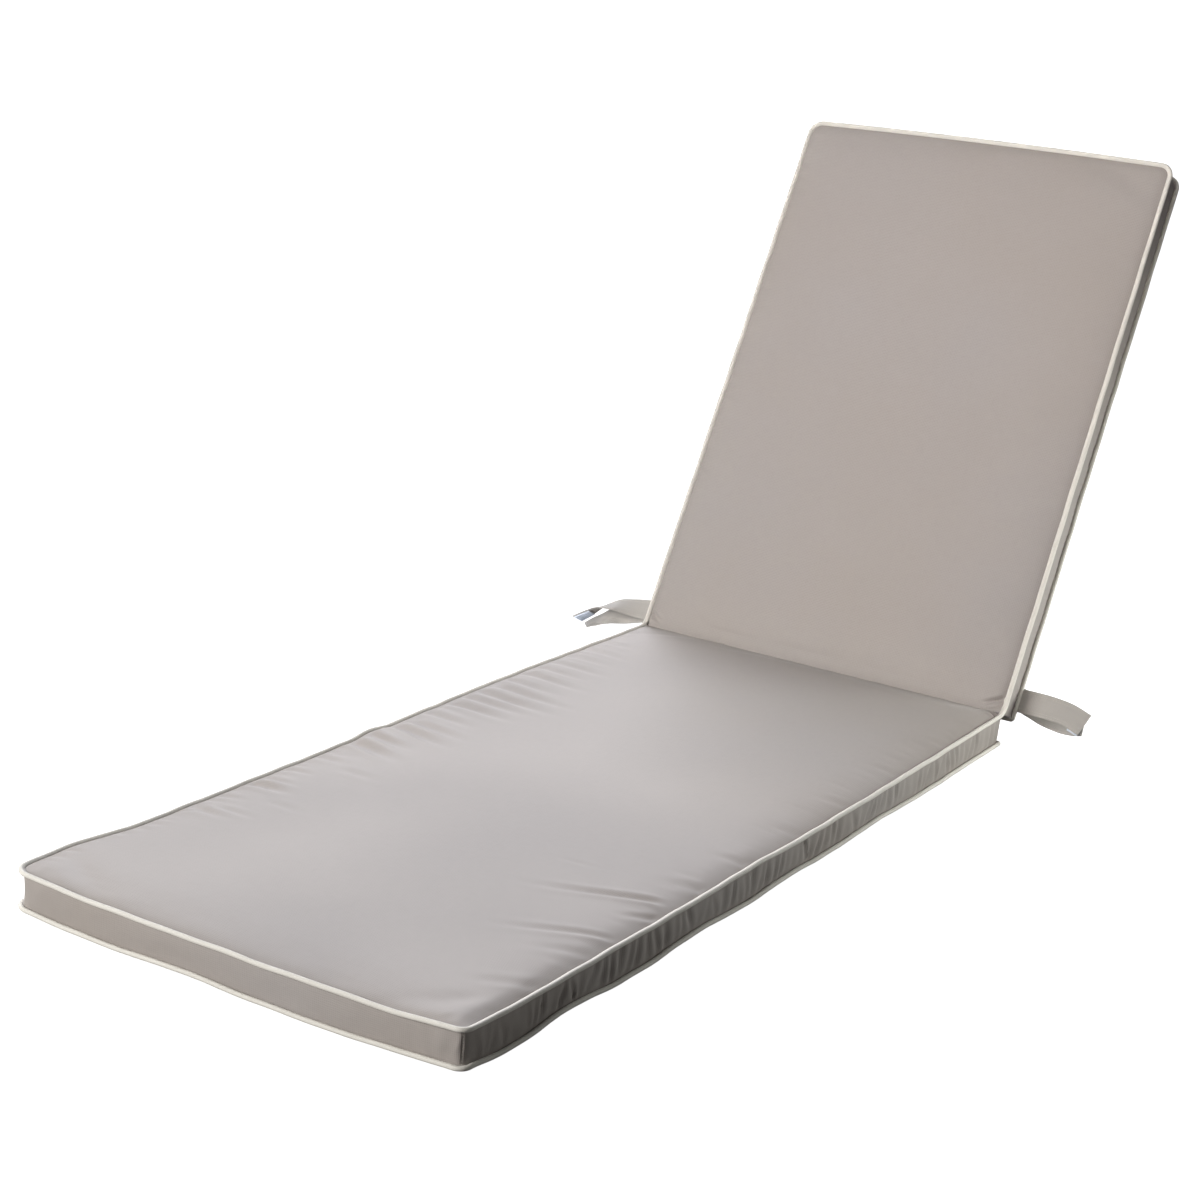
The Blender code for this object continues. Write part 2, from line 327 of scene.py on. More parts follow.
@dataclass(frozen=True)
class Ripple:
    """Uneven wave along a seam: its height, a few wave lengths that don't repeat together, and its phase."""

    height: float
    waves: tuple[float, ...]
    phase: float
    phase_step: float = 1.7
    evening: float = 0.8

    def value(self, place: np.ndarray, shift: np.ndarray | float = 0.0) -> np.ndarray:
        """Height at places along the seam, where a shift of the phase tells one side from the other."""
        phase = self.phase + shift
        parts = [
            np.sin(2 * np.pi * place / wave + phase * (i + self.phase_step))
            for i, wave in enumerate(self.waves)
        ]
        return self.height * (sum(parts) / len(self.waves) ** 0.5 * self.evening)


@dataclass(frozen=True)
class Fold:
    """Crease in a panel: its two ends on the pattern, its half width and its depth, in millimetres."""

    start: tuple[float, float]
    end: tuple[float, float]
    width: float
    depth: float
    fade_in: float = 0.15
    fade_out: float = 0.6
    ridge: float = 0.55
    ridge_off: float = 1.9

    def value(self, x: np.ndarray, s: np.ndarray) -> np.ndarray:
        """Height that the crease and its two soft ridges give to places on the pattern."""
        start, end = np.array(self.start) * MM, np.array(self.end) * MM
        along = end - start
        length = np.hypot(*along)
        along = along / length
        share = ((x - start[0]) * along[0] + (s - start[1]) * along[1]) / length
        off = np.abs((x - start[0]) * along[1] - (s - start[1]) * along[0]) / (self.width * MM)
        run = ease(share / self.fade_in) * ease((1 - share) / self.fade_out)
        ridges = self.ridge * np.exp(-((off - self.ridge_off) ** 2))
        return self.depth * MM * run * (ridges - np.exp(-(off**2)))

    def stretched(self, share: float) -> "Fold":
        """The same crease with its far end further off."""
        end = tuple(a + (b - a) * share for a, b in zip(self.start, self.end))
        return Fold(self.start, end, self.width, self.depth)


@dataclass(frozen=True)
class Pattern:
    """Sizes of the cushion's flat pattern, and how it stands in the world."""

    width: float = 0.550
    seat_length: float = 1.221
    back_length: float = 0.788
    boxing_height: float = 0.0394
    back_angle: float = math.radians(61.6)
    corner_radius: float = 0.014
    right_foot_radius: float = 0.007
    piping_nest: float = 0.0032
    lower_seam: float = 0.0028
    right_bow: float = 0.006
    foot_bow: float = 0.004
    top_bow: float = 0.003
    bow_fade: float = 0.200
    flare: float = 0.012
    flare_centre: float = 0.075
    flare_reach: float = 0.120
    lift_fade: float = 0.070
    corner_curl: float = 0.0045
    corner_reach: float = 0.075
    upper_right: tuple[Swell, ...] = (Swell(0.30, 0.62, 0.0013), Swell(0.52, 0.10, 0.0022))
    upper_left: tuple[Swell, ...] = (Swell(0.577, 0.045, 0.0035), Swell(0.86, 0.36, 0.0034))
    lower_right: tuple[Swell, ...] = (
        Swell(0.175, 0.085, 0.0055),
        Swell(0.420, 0.110, 0.0045),
        Swell(0.620, 0.150, 0.0038),
        Swell(0.830, 0.160, 0.0036),
    )
    lower_foot: tuple[Swell, ...] = (Swell(-0.045, 0.090, 0.0026), Swell(0.205, 0.070, 0.0022))
    ripple_upper_right: Ripple = Ripple(0.0005, (0.061, 0.098, 0.167), 1.3)
    ripple_upper_left: Ripple = Ripple(0.0004, (0.055, 0.083, 0.14), 2.6)
    ripple_upper_foot: Ripple = Ripple(0.0005, (0.072, 0.11, 0.19), 0.7)
    ripple_lower_right: Ripple = Ripple(0.0004, (0.07, 0.12), 0.4)
    ripple_lower_foot: Ripple = Ripple(0.0003, (0.08, 0.13), 2.1)
    ripple_back: Ripple = Ripple(0.0007, (0.067, 0.11, 0.21), 4.2)
    calm_before_hinge: float = 0.020
    calm_after_hinge: float = 0.040
    calm_fade: float = 0.060
    left_curl: float = 0.6

    @property
    def total_length(self) -> float:
        """Length of the whole pattern."""
        return self.seat_length + self.back_length

    @property
    def half_seam(self) -> float:
        """Distance from the middle to the seams at the sides."""
        return self.width / 2 - self.piping_nest

    def from_end(self, s: np.ndarray) -> np.ndarray:
        """Distance in from the nearer of the seams at the foot and the top."""
        return np.minimum(s, self.total_length - s) - self.piping_nest

    def sewn(self, x: np.ndarray, s: np.ndarray, level: np.ndarray) -> np.ndarray:
        """Which places lie on a seam that carries a welt."""
        return (level % 1 == 0) & ((np.abs(x) > self.half_seam - TINY) | (self.from_end(s) < TINY))

    @property
    def up_slope(self) -> np.ndarray:
        """Direction up the back."""
        return np.array([0.0, math.cos(self.back_angle), math.sin(self.back_angle)])

    @property
    def face_normal(self) -> np.ndarray:
        """Direction off the back's front face."""
        return np.array([0.0, -math.sin(self.back_angle), math.cos(self.back_angle)])

    @property
    def hinge(self) -> np.ndarray:
        """Middle of the hinge line."""
        return np.array([0.0, self.seat_length / 2, self.lower_seam + self.boxing_height])

    def radius_near(self, x: np.ndarray, s: np.ndarray) -> np.ndarray:
        """Radius of the outline's corner nearest to each place. The right foot corner is the sharpest."""
        return np.where((x > 0) & (s < self.total_length / 2), self.right_foot_radius, self.corner_radius)

    def stray(self, x: np.ndarray, s: np.ndarray) -> tuple[np.ndarray, np.ndarray]:
        """Move pattern places by the outline's bows and flare.

        Args:
            x: Places across.
            s: Places along.

        Returns:
            The places across and along, after the move.
        """
        share = np.clip(np.abs(x) / self.half_seam, 0.0, 1.0)
        bow = self.right_bow * np.sin(np.pi * np.clip(s / self.seat_length, 0.0, 1.0))
        flare = self.flare * bell(s - self.flare_centre, self.flare_reach)
        outward = np.where(x > 0, bow, flare)
        hollow = 1 - share**2
        foot = self.foot_bow * hollow * ease(1 - s / self.bow_fade)
        top = self.top_bow * hollow * ease(1 - (self.total_length - s) / self.bow_fade)
        return x + np.sign(x) * outward * share, s - foot + top

    def lift(self, x: np.ndarray, s: np.ndarray, level: np.ndarray) -> np.ndarray:
        """How far the sewn edges stand off their straight lines, fading into the panels.

        Args:
            x: Places across.
            s: Places along.
            level: 0 at the lower seam to 1 at the upper seam.

        Returns:
            Heights to add.
        """
        right = ease(1 - (self.half_seam - x) / self.lift_fade)
        left = ease(1 - (self.half_seam + x) / self.lift_fade)
        foot = ease(1 - s / self.lift_fade)
        on_seat = ease((self.seat_length - self.calm_before_hinge - s) / self.calm_fade)
        upper = right * (sum(w.value(s) for w in self.upper_right) + self.ripple_upper_right.value(s))
        upper = upper + left * (sum(w.value(s) for w in self.upper_left) + self.ripple_upper_left.value(s))
        upper = upper + foot * self.ripple_upper_foot.value(x)
        wave = self.ripple_lower_right
        lower = right * (sum(w.value(s) for w in self.lower_right) + wave.height + wave.value(s))
        wave = self.ripple_lower_foot
        lower = lower + foot * (sum(w.value(x) for w in self.lower_foot) + wave.height + wave.value(x))
        corner_right = np.hypot(self.half_seam - x, s)
        corner_left = np.hypot(self.half_seam + x, s)
        curl = ease(1 - corner_right / self.corner_reach)
        curl = curl + self.left_curl * ease(1 - corner_left / self.corner_reach)
        seat = on_seat * (level * upper + (1 - level) * lower + self.corner_curl * curl)
        on_back = ease((s - self.seat_length - self.calm_after_hinge) / self.calm_fade)
        return seat + on_back * np.maximum(right, left) * self.ripple_back.value(s, np.sign(x))

    def place(
        self, x: np.ndarray, s: np.ndarray, height: np.ndarray, lift: np.ndarray | float = 0.0
    ) -> np.ndarray:
        """World places of pattern places at heights above the lower seam.

        Args:
            x: Places across.
            s: Places along.
            height: Heights above the lower seam's level.
            lift: Heights that the edge's own waves add.

        Returns:
            One row of three coordinates for each place.
        """
        x, s = self.stray(x, s)
        off = height + lift
        seat = np.stack([x, s - self.seat_length / 2, self.lower_seam + off], axis=-1)
        slope = (s - self.seat_length)[..., None] * self.up_slope
        back = self.hinge + slope + (off - self.boxing_height)[..., None] * self.face_normal
        back[..., 0] += x
        return np.where((s <= self.seat_length)[..., None], seat, back)


@dataclass(frozen=True)
class CanvasFinish:
    """Plain-woven polyester canvas, solution dyed: a matt cloth with a soft satin glow at grazing angles."""

    name: str = "woven_polyester_canvas"
    warm: str = "#a59c94"
    cool: str = "#aaa6a6"
    shade: str = "#8d8680"
    thread_spacing: float = 0.0022
    slub_length: float = 0.018
    roughness: float = 0.62
    sheen: float = 0.22
    sheen_roughness: float = 0.35
    specular: float = 0.35
    bump: float = 0.24
    relief: float = 0.0006
    slub_share: float = 0.55
    seam_shade: float = 0.22
    roughness_spread: float = 0.06

    def make(self) -> bpy.types.Material:
        """Build the material.

        Returns:
            The canvas, whose threads follow the cloth's own UV map in metres. The real threads are about
            0.6 mm apart, and are drawn wider so that they show.
        """
        material, tree, shader = new_material(self.name)
        cloth = add_node(tree, "ShaderNodeUVMap", {"uv_map": CLOTH_UV}).outputs["UV"]
        waves = []
        for direction in ("X", "Y"):
            settings = {
                "wave_type": "BANDS",
                "bands_direction": direction,
                "Scale": wave_scale(self.thread_spacing),
                "Distortion": 1.2,
                "Detail": 1.0,
                "Detail Scale": 0.6,
            }
            waves.append(add_node(tree, "ShaderNodeTexWave", settings, {"Vector": cloth}).outputs["Fac"])
        slubs = []
        fine, long = 1 / self.thread_spacing, 1 / self.slub_length
        for stretch in ((long, fine, 1.0), (fine, long, 1.0)):
            mapped = add_node(tree, "ShaderNodeMapping", {"Scale": stretch}, {"Vector": cloth}).outputs[0]
            noise = add_node(tree, "ShaderNodeTexNoise", {"Scale": 0.9, "Detail": 3.0}, {"Vector": mapped})
            slubs.append(noise.outputs["Fac"])
        weave = add_node(tree, "ShaderNodeMath", {"operation": "MULTIPLY"}, {0: waves[0], 1: waves[1]})
        slub = add_node(tree, "ShaderNodeMath", {"operation": "ADD"}, {0: slubs[0], 1: slubs[1]})
        height = add_node(
            tree,
            "ShaderNodeMath",
            {"operation": "MULTIPLY_ADD", 1: self.slub_share},
            {0: slub.outputs[0], 2: weave.outputs[0]},
        )
        place = add_node(tree, "ShaderNodeTexCoord").outputs["Object"]
        patches = add_node(
            tree, "ShaderNodeTexNoise", {"Scale": 3.2, "Detail": 2.0, "Roughness": 0.4}, {"Vector": place}
        ).outputs["Fac"]
        tone = add_node(
            tree,
            "ShaderNodeMix",
            {"data_type": "RGBA", COLOUR_A: linear_colour(self.warm), COLOUR_B: linear_colour(self.cool)},
            {FACTOR: patches},
        )
        thread_tone = add_node(
            tree,
            "ShaderNodeMapRange",
            {"From Min": 0.6, "From Max": 1.5, "To Min": 0.0, "To Max": 0.45},
            {"Value": height.outputs[0]},
        )
        threads = add_node(
            tree,
            "ShaderNodeMix",
            {"data_type": "RGBA", COLOUR_B: linear_colour(self.shade)},
            {FACTOR: thread_tone.outputs[0], COLOUR_A: tone.outputs[COLOUR_OUT]},
        )
        # Darker near every seam, by the seam_shade share: partly grime, partly painted shade where the seams
        # draw the cloth in.
        seam = add_node(tree, "ShaderNodeAttribute", {"attribute_name": SEAM_ATTRIBUTE}).outputs["Fac"]
        seam_share = add_node(
            tree, "ShaderNodeMath", {"operation": "MULTIPLY", 1: self.seam_shade}, {0: seam}
        )
        seam_grime_and_painted_shade = add_node(
            tree,
            "ShaderNodeMix",
            {"data_type": "RGBA", COLOUR_B: linear_colour(self.shade)},
            {FACTOR: seam_share.outputs[0], COLOUR_A: threads.outputs[COLOUR_OUT]},
        )
        smooth, matt = self.roughness - self.roughness_spread, self.roughness + self.roughness_spread
        rough = add_node(
            tree,
            "ShaderNodeMapRange",
            {"From Min": 0.3, "From Max": 0.7, "To Min": smooth, "To Max": matt},
            {"Value": patches},
        )
        bump = add_node(
            tree,
            "ShaderNodeBump",
            {"Strength": self.bump, "Distance": self.relief},
            {"Height": height.outputs[0]},
        )
        tree.links.new(seam_grime_and_painted_shade.outputs[COLOUR_OUT], shader.inputs["Base Color"])
        tree.links.new(rough.outputs[0], shader.inputs["Roughness"])
        tree.links.new(bump.outputs["Normal"], shader.inputs["Normal"])
        shader.inputs["Sheen Weight"].default_value = self.sheen
        shader.inputs["Sheen Roughness"].default_value = self.sheen_roughness
        shader.inputs["Specular IOR Level"].default_value = self.specular
        return material


@dataclass(frozen=True)
class WeltFinish:
    """Cream polyester tape, cut on the bias and sewn round a cord: matt, with slanting threads."""

    name: str = "bias_cut_welt_tape"
    light: str = "#e8e5de"
    dark: str = "#c9c4b9"
    thread_spacing: float = 0.0012
    roughness: float = 0.72
    sheen: float = 0.25
    bump: float = 0.25
    relief: float = 0.0004

    def make(self) -> bpy.types.Material:
        """Build the material.

        Returns:
            The tape, whose threads slant along the welt's own UV map in metres.
        """
        material, tree, shader = new_material(self.name)
        cloth = add_node(tree, "ShaderNodeUVMap", {"uv_map": CLOTH_UV}).outputs["UV"]
        bias = (0.0, 0.0, math.radians(45))
        slant = add_node(tree, "ShaderNodeMapping", {"Rotation": bias}, {"Vector": cloth}).outputs[0]
        settings = {
            "bands_direction": "X",
            "Scale": wave_scale(self.thread_spacing),
            "Distortion": 0.8,
            "Detail": 1.0,
        }
        wave = add_node(tree, "ShaderNodeTexWave", settings, {"Vector": slant}).outputs["Fac"]
        grime = add_node(tree, "ShaderNodeTexNoise", {"Scale": 60.0, "Detail": 3.0}, {"Vector": cloth})
        mixed = add_node(
            tree, "ShaderNodeMath", {"operation": "MULTIPLY"}, {0: wave, 1: grime.outputs["Fac"]}
        )
        colour = add_node(
            tree,
            "ShaderNodeMix",
            {"data_type": "RGBA", COLOUR_A: linear_colour(self.light), COLOUR_B: linear_colour(self.dark)},
            {FACTOR: mixed.outputs[0]},
        )
        bump = add_node(
            tree, "ShaderNodeBump", {"Strength": self.bump, "Distance": self.relief}, {"Height": wave}
        )
        tree.links.new(colour.outputs[COLOUR_OUT], shader.inputs["Base Color"])
        tree.links.new(bump.outputs["Normal"], shader.inputs["Normal"])
        shader.inputs["Roughness"].default_value = self.roughness
        shader.inputs["Sheen Weight"].default_value = self.sheen
        return material


@dataclass(frozen=True)
class BandedFinish:
    """Fine thread or tape whose bands show as a change of tone and as relief."""

    name: str
    light: str
    dark: str
    spacing: float
    bands: str
    distortion: float
    relief: float
    roughness: float
    bump: float = 0.3

    def make(self) -> bpy.types.Material:
        """Build the material.

        Returns:
            The finish, whose bands are laid by place.
        """
        material, tree, shader = new_material(self.name)
        place = add_node(tree, "ShaderNodeTexCoord").outputs["Object"]
        wave = add_node(
            tree,
            "ShaderNodeTexWave",
            {
                "bands_direction": self.bands,
                "Scale": wave_scale(self.spacing),
                "Distortion": self.distortion,
            },
            {"Vector": place},
        ).outputs["Fac"]
        colour = add_node(
            tree,
            "ShaderNodeMix",
            {"data_type": "RGBA", COLOUR_A: linear_colour(self.light), COLOUR_B: linear_colour(self.dark)},
            {FACTOR: wave},
        )
        bump = add_node(
            tree, "ShaderNodeBump", {"Strength": self.bump, "Distance": self.relief}, {"Height": wave}
        )
        tree.links.new(colour.outputs[COLOUR_OUT], shader.inputs["Base Color"])
        tree.links.new(bump.outputs["Normal"], shader.inputs["Normal"])
        shader.inputs["Roughness"].default_value = self.roughness
        return material


@dataclass(frozen=True)
class ThreadFinish(BandedFinish):
    """Twisted polyester sewing thread: a little glossier than the cloth, with a fine slanting twist."""

    name: str = "twisted_polyester_thread"
    light: str = "#d6d1c9"
    dark: str = "#b3ada4"
    spacing: float = 0.0009
    bands: str = "DIAGONAL"
    distortion: float = 0.0
    relief: float = 0.0002
    roughness: float = 0.45


@dataclass(frozen=True)
class HookTapeFinish(BandedFinish):
    """Woven nylon tape with moulded hooks: bluish white and a little glossy, with woven ribs."""

    name: str = "nylon_hook_tape"
    light: str = "#e4eaf3"
    dark: str = "#c8d1de"
    spacing: float = 0.0015
    bands: str = "Z"
    distortion: float = 1.0
    relief: float = 0.0003
    roughness: float = 0.4


@dataclass(frozen=True)
class FloorFinish:
    """Matt painted studio floor: plain and pale."""

    name: str = "matt_painted_floor"
    light: str = "#a9a8a7"
    dark: str = "#a5a4a3"
    bounce: str = "#6a6866"
    glow: float = 1.0

    def make(self) -> bpy.types.Material:
        """Build the material.

        Returns:
            The floor's paint, with a faint unevenness.
        """
        material, tree, shader = new_material(self.name)
        place = add_node(tree, "ShaderNodeTexCoord").outputs["Object"]
        noise = add_node(tree, "ShaderNodeTexNoise", {"Scale": 1.5, "Detail": 2.0}, {"Vector": place})
        colour = add_node(
            tree,
            "ShaderNodeMix",
            {"data_type": "RGBA", COLOUR_A: linear_colour(self.light), COLOUR_B: linear_colour(self.dark)},
            {FACTOR: noise.outputs["Fac"]},
        )
        seen = add_node(tree, "ShaderNodeLightPath").outputs["Is Camera Ray"]
        calm = add_node(
            tree,
            "ShaderNodeMix",
            {"data_type": "RGBA", COLOUR_A: linear_colour(self.bounce)},
            {FACTOR: seen, COLOUR_B: colour.outputs[COLOUR_OUT]},
        )
        tree.links.new(calm.outputs[COLOUR_OUT], shader.inputs["Base Color"])
        glow = add_node(tree, "ShaderNodeMath", {"operation": "MULTIPLY", 1: self.glow}, {0: seen})
        shader.inputs["Emission Color"].default_value = linear_colour("#ffffff")
        tree.links.new(glow.outputs[0], shader.inputs["Emission Strength"])
        shader.inputs["Roughness"].default_value = 0.9
        shader.inputs["Specular IOR Level"].default_value = 0.2
        return material


@dataclass
class Cover:
    """Filled canvas cover: a top panel, an underside, a rear panel and boxing, swollen by its filling."""

    pattern: Pattern
    crown: float = 0.0072
    rear_crown: float = 0.0045
    edge_roll: float = 0.023
    edge_fullness: float = 2.5
    right_roll: float = 0.018
    right_fullness: float = 1.35
    right_fill: float = 1.25
    crown_reach: float = 0.120
    crease_reach: float = 0.045
    boxing_bulge: float = 0.0020
    bulge_fade: float = 0.030
    foot_roll: float = 0.012
    web: float = 0.0045
    end_setback: float = 0.005
    step_along: float = 0.0056
    roll_share: float = 0.72
    crown_share: float = 0.28
    crown_fullness: float = 2.0
    crease_fullness: float = 2.2
    soft_height: float = 0.10
    soft_waves: tuple[float, ...] = (9.1, 5.3, 6.7, 4.1, 13.0, 11.0)
    soft_phase: float = 2.0
    soft_second: float = 0.6
    lift_edge: float = 0.030
    even_zone: float = 0.030
    back_step: float = 1.75
    edge_lines: tuple[float, ...] = (
        *(0.003, 0.006, 0.010, 0.015, 0.022, 0.031, 0.042),
        *(0.056, 0.073, 0.093, 0.117, 0.145, 0.178, 0.214),
    )
    end_lines: tuple[float, ...] = (0.003, 0.006, 0.010, 0.015)
    hinge_lines: tuple[float, ...] = (0.0012, 0.0025, 0.005, 0.0085, 0.012, 0.0155, 0.019, 0.023)
    levels: tuple[float, ...] = (0.0, 0.12, 0.31, 0.5, 0.69, 0.88, 1.0)
    sharp_angle: float = math.radians(48)
    sim_fill: float = 0.75
    sim_frames: int = 20
    held_zone: float = 0.022
    cap_at_seam: float = 0.1
    sim_pressure: float = 4.0
    panel_cap: float = 0.0034
    boxing_cap: float = 0.0010
    cap_reach: float = 0.060
    sink_share: float = 0.1
    fold_gain: float = 1.55
    left_stretch: float = 1.35
    right_calm: float = 0.15
    level_margin: float = 0.001
    fold_calm: float = 0.006
    panel_mark: float = 0.012
    boxing_mark: float = 0.008
    pucker_depth: float = 0.0018
    pucker_count: int = 220
    pucker_gap: tuple[float, float] = (0.010, 0.023)
    pucker_range: tuple[float, float] = (0.15, 1.75)
    pucker_tilt: float = 0.34
    pucker_skew: float = 0.9
    pucker_sharpness: float = 1.3
    pucker_fullness: float = 0.6
    pucker_strengths: tuple[float, ...] = (1.0, 0.8, 0.5, 0.4)
    pucker_back_calm: float = 0.45
    pucker_back_fade: float = 0.1
    pucker_foot_share: float = 0.3
    pucker_foot_start: float = 0.03
    pucker_foot_fade: float = 0.12
    pucker_hinge_start: float = 0.008
    pucker_hinge_fade: float = 0.03
    small_margin: float = 8.0
    small_half: float = 272.0
    small_width: tuple[float, float] = (3.5, 5.5)
    side_spacing: float = 22.0
    side_jitter: float = 8.0
    side_slant: float = 7.0
    side_length: tuple[float, float] = (16, 34)
    side_depth: tuple[float, float] = (0.15, 0.5)
    side_start: float = 30.0
    end_spacing: float = 21.0
    end_jitter: float = 7.0
    end_slant: float = 6.0
    end_half: float = 255.0
    end_length: tuple[float, float] = (14, 30)
    end_depth: tuple[float, float] = (0.12, 0.4)
    left_folds: tuple[Fold, ...] = (
        Fold((-272, 252), (-222, 240), 6, 1.2),
        Fold((-240, 262), (-196, 259), 5, 0.6),
        Fold((-272, 300), (-236, 296), 5, 0.6),
        Fold((-272, 350), (-216, 343), 7, 1.9),
        Fold((-272, 372), (-226, 368), 5, 0.9),
        Fold((-205, 310), (-166, 306), 6, 0.5),
        Fold((-272, 412), (-230, 408), 5, 0.8),
        Fold((-272, 470), (-228, 462), 6, 0.8),
        Fold((-215, 444), (-168, 443), 7, 0.6),
        Fold((-273, 537), (-196, 512), 8, 2.0),
        Fold((-272, 566), (-206, 552), 7, 1.5),
        Fold((-273, 616), (-182, 590), 7, 1.6),
        Fold((-260, 641), (-180, 623), 7, 1.4),
        Fold((-272, 682), (-200, 668), 7, 1.3),
        Fold((-273, 731), (-184, 719), 7, 1.6),
        Fold((-268, 760), (-186, 750), 6, 1.1),
        Fold((-272, 791), (-166, 776), 7, 1.6),
        Fold((-266, 824), (-160, 810), 7, 1.4),
        Fold((-271, 858), (-190, 846), 7, 1.1),
        Fold((-270, 897), (-182, 883), 7, 1.3),
        Fold((-270, 930), (-200, 922), 6, 0.9),
        Fold((-270, 963), (-188, 956), 7, 1.0),
        Fold((-270, 1004), (-204, 998), 7, 0.8),
        Fold((-270, 1048), (-198, 1037), 7, 0.8),
        Fold((-270, 1092), (-212, 1088), 7, 0.6),
    )
    right_folds: tuple[Fold, ...] = (
        Fold((150, 396), (124, 387), 4, 0.5),
        Fold((266, 369), (110, 300), 5, 1.5),
        Fold((272, 262), (140, 192), 5, 1.1),
        Fold((272, 216), (205, 176), 6, 0.4),
        Fold((272, 121), (205, 78), 7, 0.5),
        Fold((274, 337), (236, 301), 5, 0.7),
        Fold((274, 430), (222, 404), 8, 0.7),
        Fold((273, 520), (226, 508), 7, 0.6),
        Fold((273, 640), (232, 632), 7, 0.5),
        Fold((273, 760), (230, 752), 7, 0.5),
        Fold((273, 900), (234, 896), 7, 0.4),
        Fold((273, 1040), (236, 1034), 7, 0.4),
    )
    hinge_folds: tuple[Fold, ...] = (
        Fold((276, 1243), (238, 1226), 3, 2.6),
        Fold((276, 1202), (242, 1216), 3, 2.2),
        Fold((-276, 1244), (-244, 1226), 3, 2.2),
        Fold((-276, 1204), (-250, 1216), 3, 1.6),
    )

    def lines_across(self) -> np.ndarray:
        """Lines of the lattice from side to side, closest at the seams."""
        reach = [self.pattern.half_seam - line for line in (0.0, *self.edge_lines)]
        return np.array([-x for x in reach] + [0.0] + reach[::-1])

    def lines_along(self) -> np.ndarray:
        """Lines of the lattice from foot to top, closest at the seams and at the hinge."""
        p = self.pattern
        low, high = p.piping_nest, p.total_length - p.piping_nest
        foot = [low + line for line in (0.0, *self.end_lines)]
        before = [p.seat_length - line for line in self.hinge_lines[::-1]]
        after = [p.seat_length + line for line in self.hinge_lines]
        top = [high - line for line in self.end_lines[::-1]] + [high]
        seat_steps = round((before[0] - foot[-1]) / self.step_along)
        back_steps = round((top[0] - after[-1]) / (self.step_along * self.back_step))
        seat = np.linspace(foot[-1], before[0], seat_steps + 1)[1:-1]
        back = np.linspace(after[-1], top[0], back_steps + 1)[1:-1]
        return np.array([*foot, *seat, *before, p.seat_length, *after, *back, *top])

    def soft_places(self, x: np.ndarray, s: np.ndarray) -> np.ndarray:
        """Slow unevenness of the filling, as a share of the crown."""
        a, b, c, d, along, across = self.soft_waves
        slanting = np.sin(a * x + b * s) * np.sin(c * s - d * x)
        straight = self.soft_second * np.sin(along * s + self.soft_phase) * np.sin(across * x)
        return self.soft_height * (slanting + straight)

    def surface(self, x: np.ndarray, s: np.ndarray, level: np.ndarray, fill: float) -> np.ndarray:
        """World places of lattice points on the filled cover.

        Args:
            x: Places across.
            s: Places along.
            level: 0 at the lower seam to 1 at the upper seam.
            fill: Share of the full swell.

        Returns:
            One row of three coordinates for each point.
        """
        p = self.pattern
        from_hinge = np.abs(s - p.seat_length)
        on_seat = s < p.seat_length
        in_side = p.half_seam - np.abs(x)
        in_end = p.from_end(s)
        inward = np.minimum(in_side, in_end)
        radius = p.radius_near(x, s)
        side, end = radius - in_side, radius - in_end
        rounded = (side > 0) & (end > 0)
        reach = np.maximum(side, end)
        low, high = np.maximum(np.minimum(side, end), 0.0), np.maximum(reach, LEAST)
        turn = np.where(side >= end, np.pi / 4 * low / high, np.pi / 2 - np.pi / 4 * low / high)
        new_side = np.where(rounded, radius - reach * np.cos(turn), in_side)
        new_end = np.where(rounded, radius - reach * np.sin(turn), in_end)
        new_x = np.sign(x) * (p.half_seam - new_side)
        new_s = s + (new_end - in_end) * np.where(s < p.total_length / 2, 1, -1)

        foot = p.boxing_height * np.clip(1 - from_hinge / self.end_setback, 0.0, 1.0)
        height = foot + (p.boxing_height - foot) * level
        side_roll = np.where(
            on_seat & (x > 0),
            rise(in_side, self.right_roll, self.right_fullness),
            rise(in_side, self.edge_roll, self.edge_fullness),
        )
        roll = side_roll * rise(in_end, self.edge_roll, self.edge_fullness)
        crown = rise(in_side, self.crown_reach, self.crown_fullness)
        crown = crown * rise(in_end, self.crown_reach, self.crown_fullness)
        fuller = (self.right_fill - 1) * ease(1 - (p.half_seam - x) / self.crown_reach) * on_seat
        swell = (self.roll_share + fuller) * roll + self.crown_share * crown
        top = self.crown * fill * (swell + self.soft_places(x, s) * crown)
        top = top * rise(from_hinge, self.crease_reach, self.crease_fullness)
        under = -p.lower_seam * ease(np.minimum(inward, from_hinge - self.end_setback) / self.foot_roll)
        rear = -self.rear_crown * fill * swell
        rear = rear * rise(from_hinge - self.end_setback, self.crown_reach, self.crown_fullness)
        low_sheet = np.where(on_seat, under, rear)
        height = height + np.where(level == 1, top, np.where(level == 0, low_sheet, 0.0))

        bulge = self.boxing_bulge * fill * (1 - (2 * level - 1) ** 2)
        fade = ease(in_end / self.bulge_fade) * ease((from_hinge - self.end_setback) / self.bulge_fade)
        new_x = new_x + np.where(in_side < TINY, np.sign(x) * bulge * fade, 0.0)
        push = bulge * ease(in_side / self.bulge_fade) * np.where(on_seat, -1, 1)
        new_s = new_s + np.where(in_end < TINY, push, 0.0)
        lift = p.lift(new_x, new_s, np.where(from_hinge < self.even_zone, 0.5, level))
        lift = np.where(level == 0, lift * ease(1 - inward / self.lift_edge), lift)
        places = p.place(new_x, new_s, height, lift)
        down = -p.face_normal + np.array([0.0, 0.0, -1.0])
        web = p.hinge + (self.web * (1 - level))[..., None] * down / np.linalg.norm(down)
        web[..., 0] = x
        return np.where((from_hinge < TINY)[..., None], web, places)

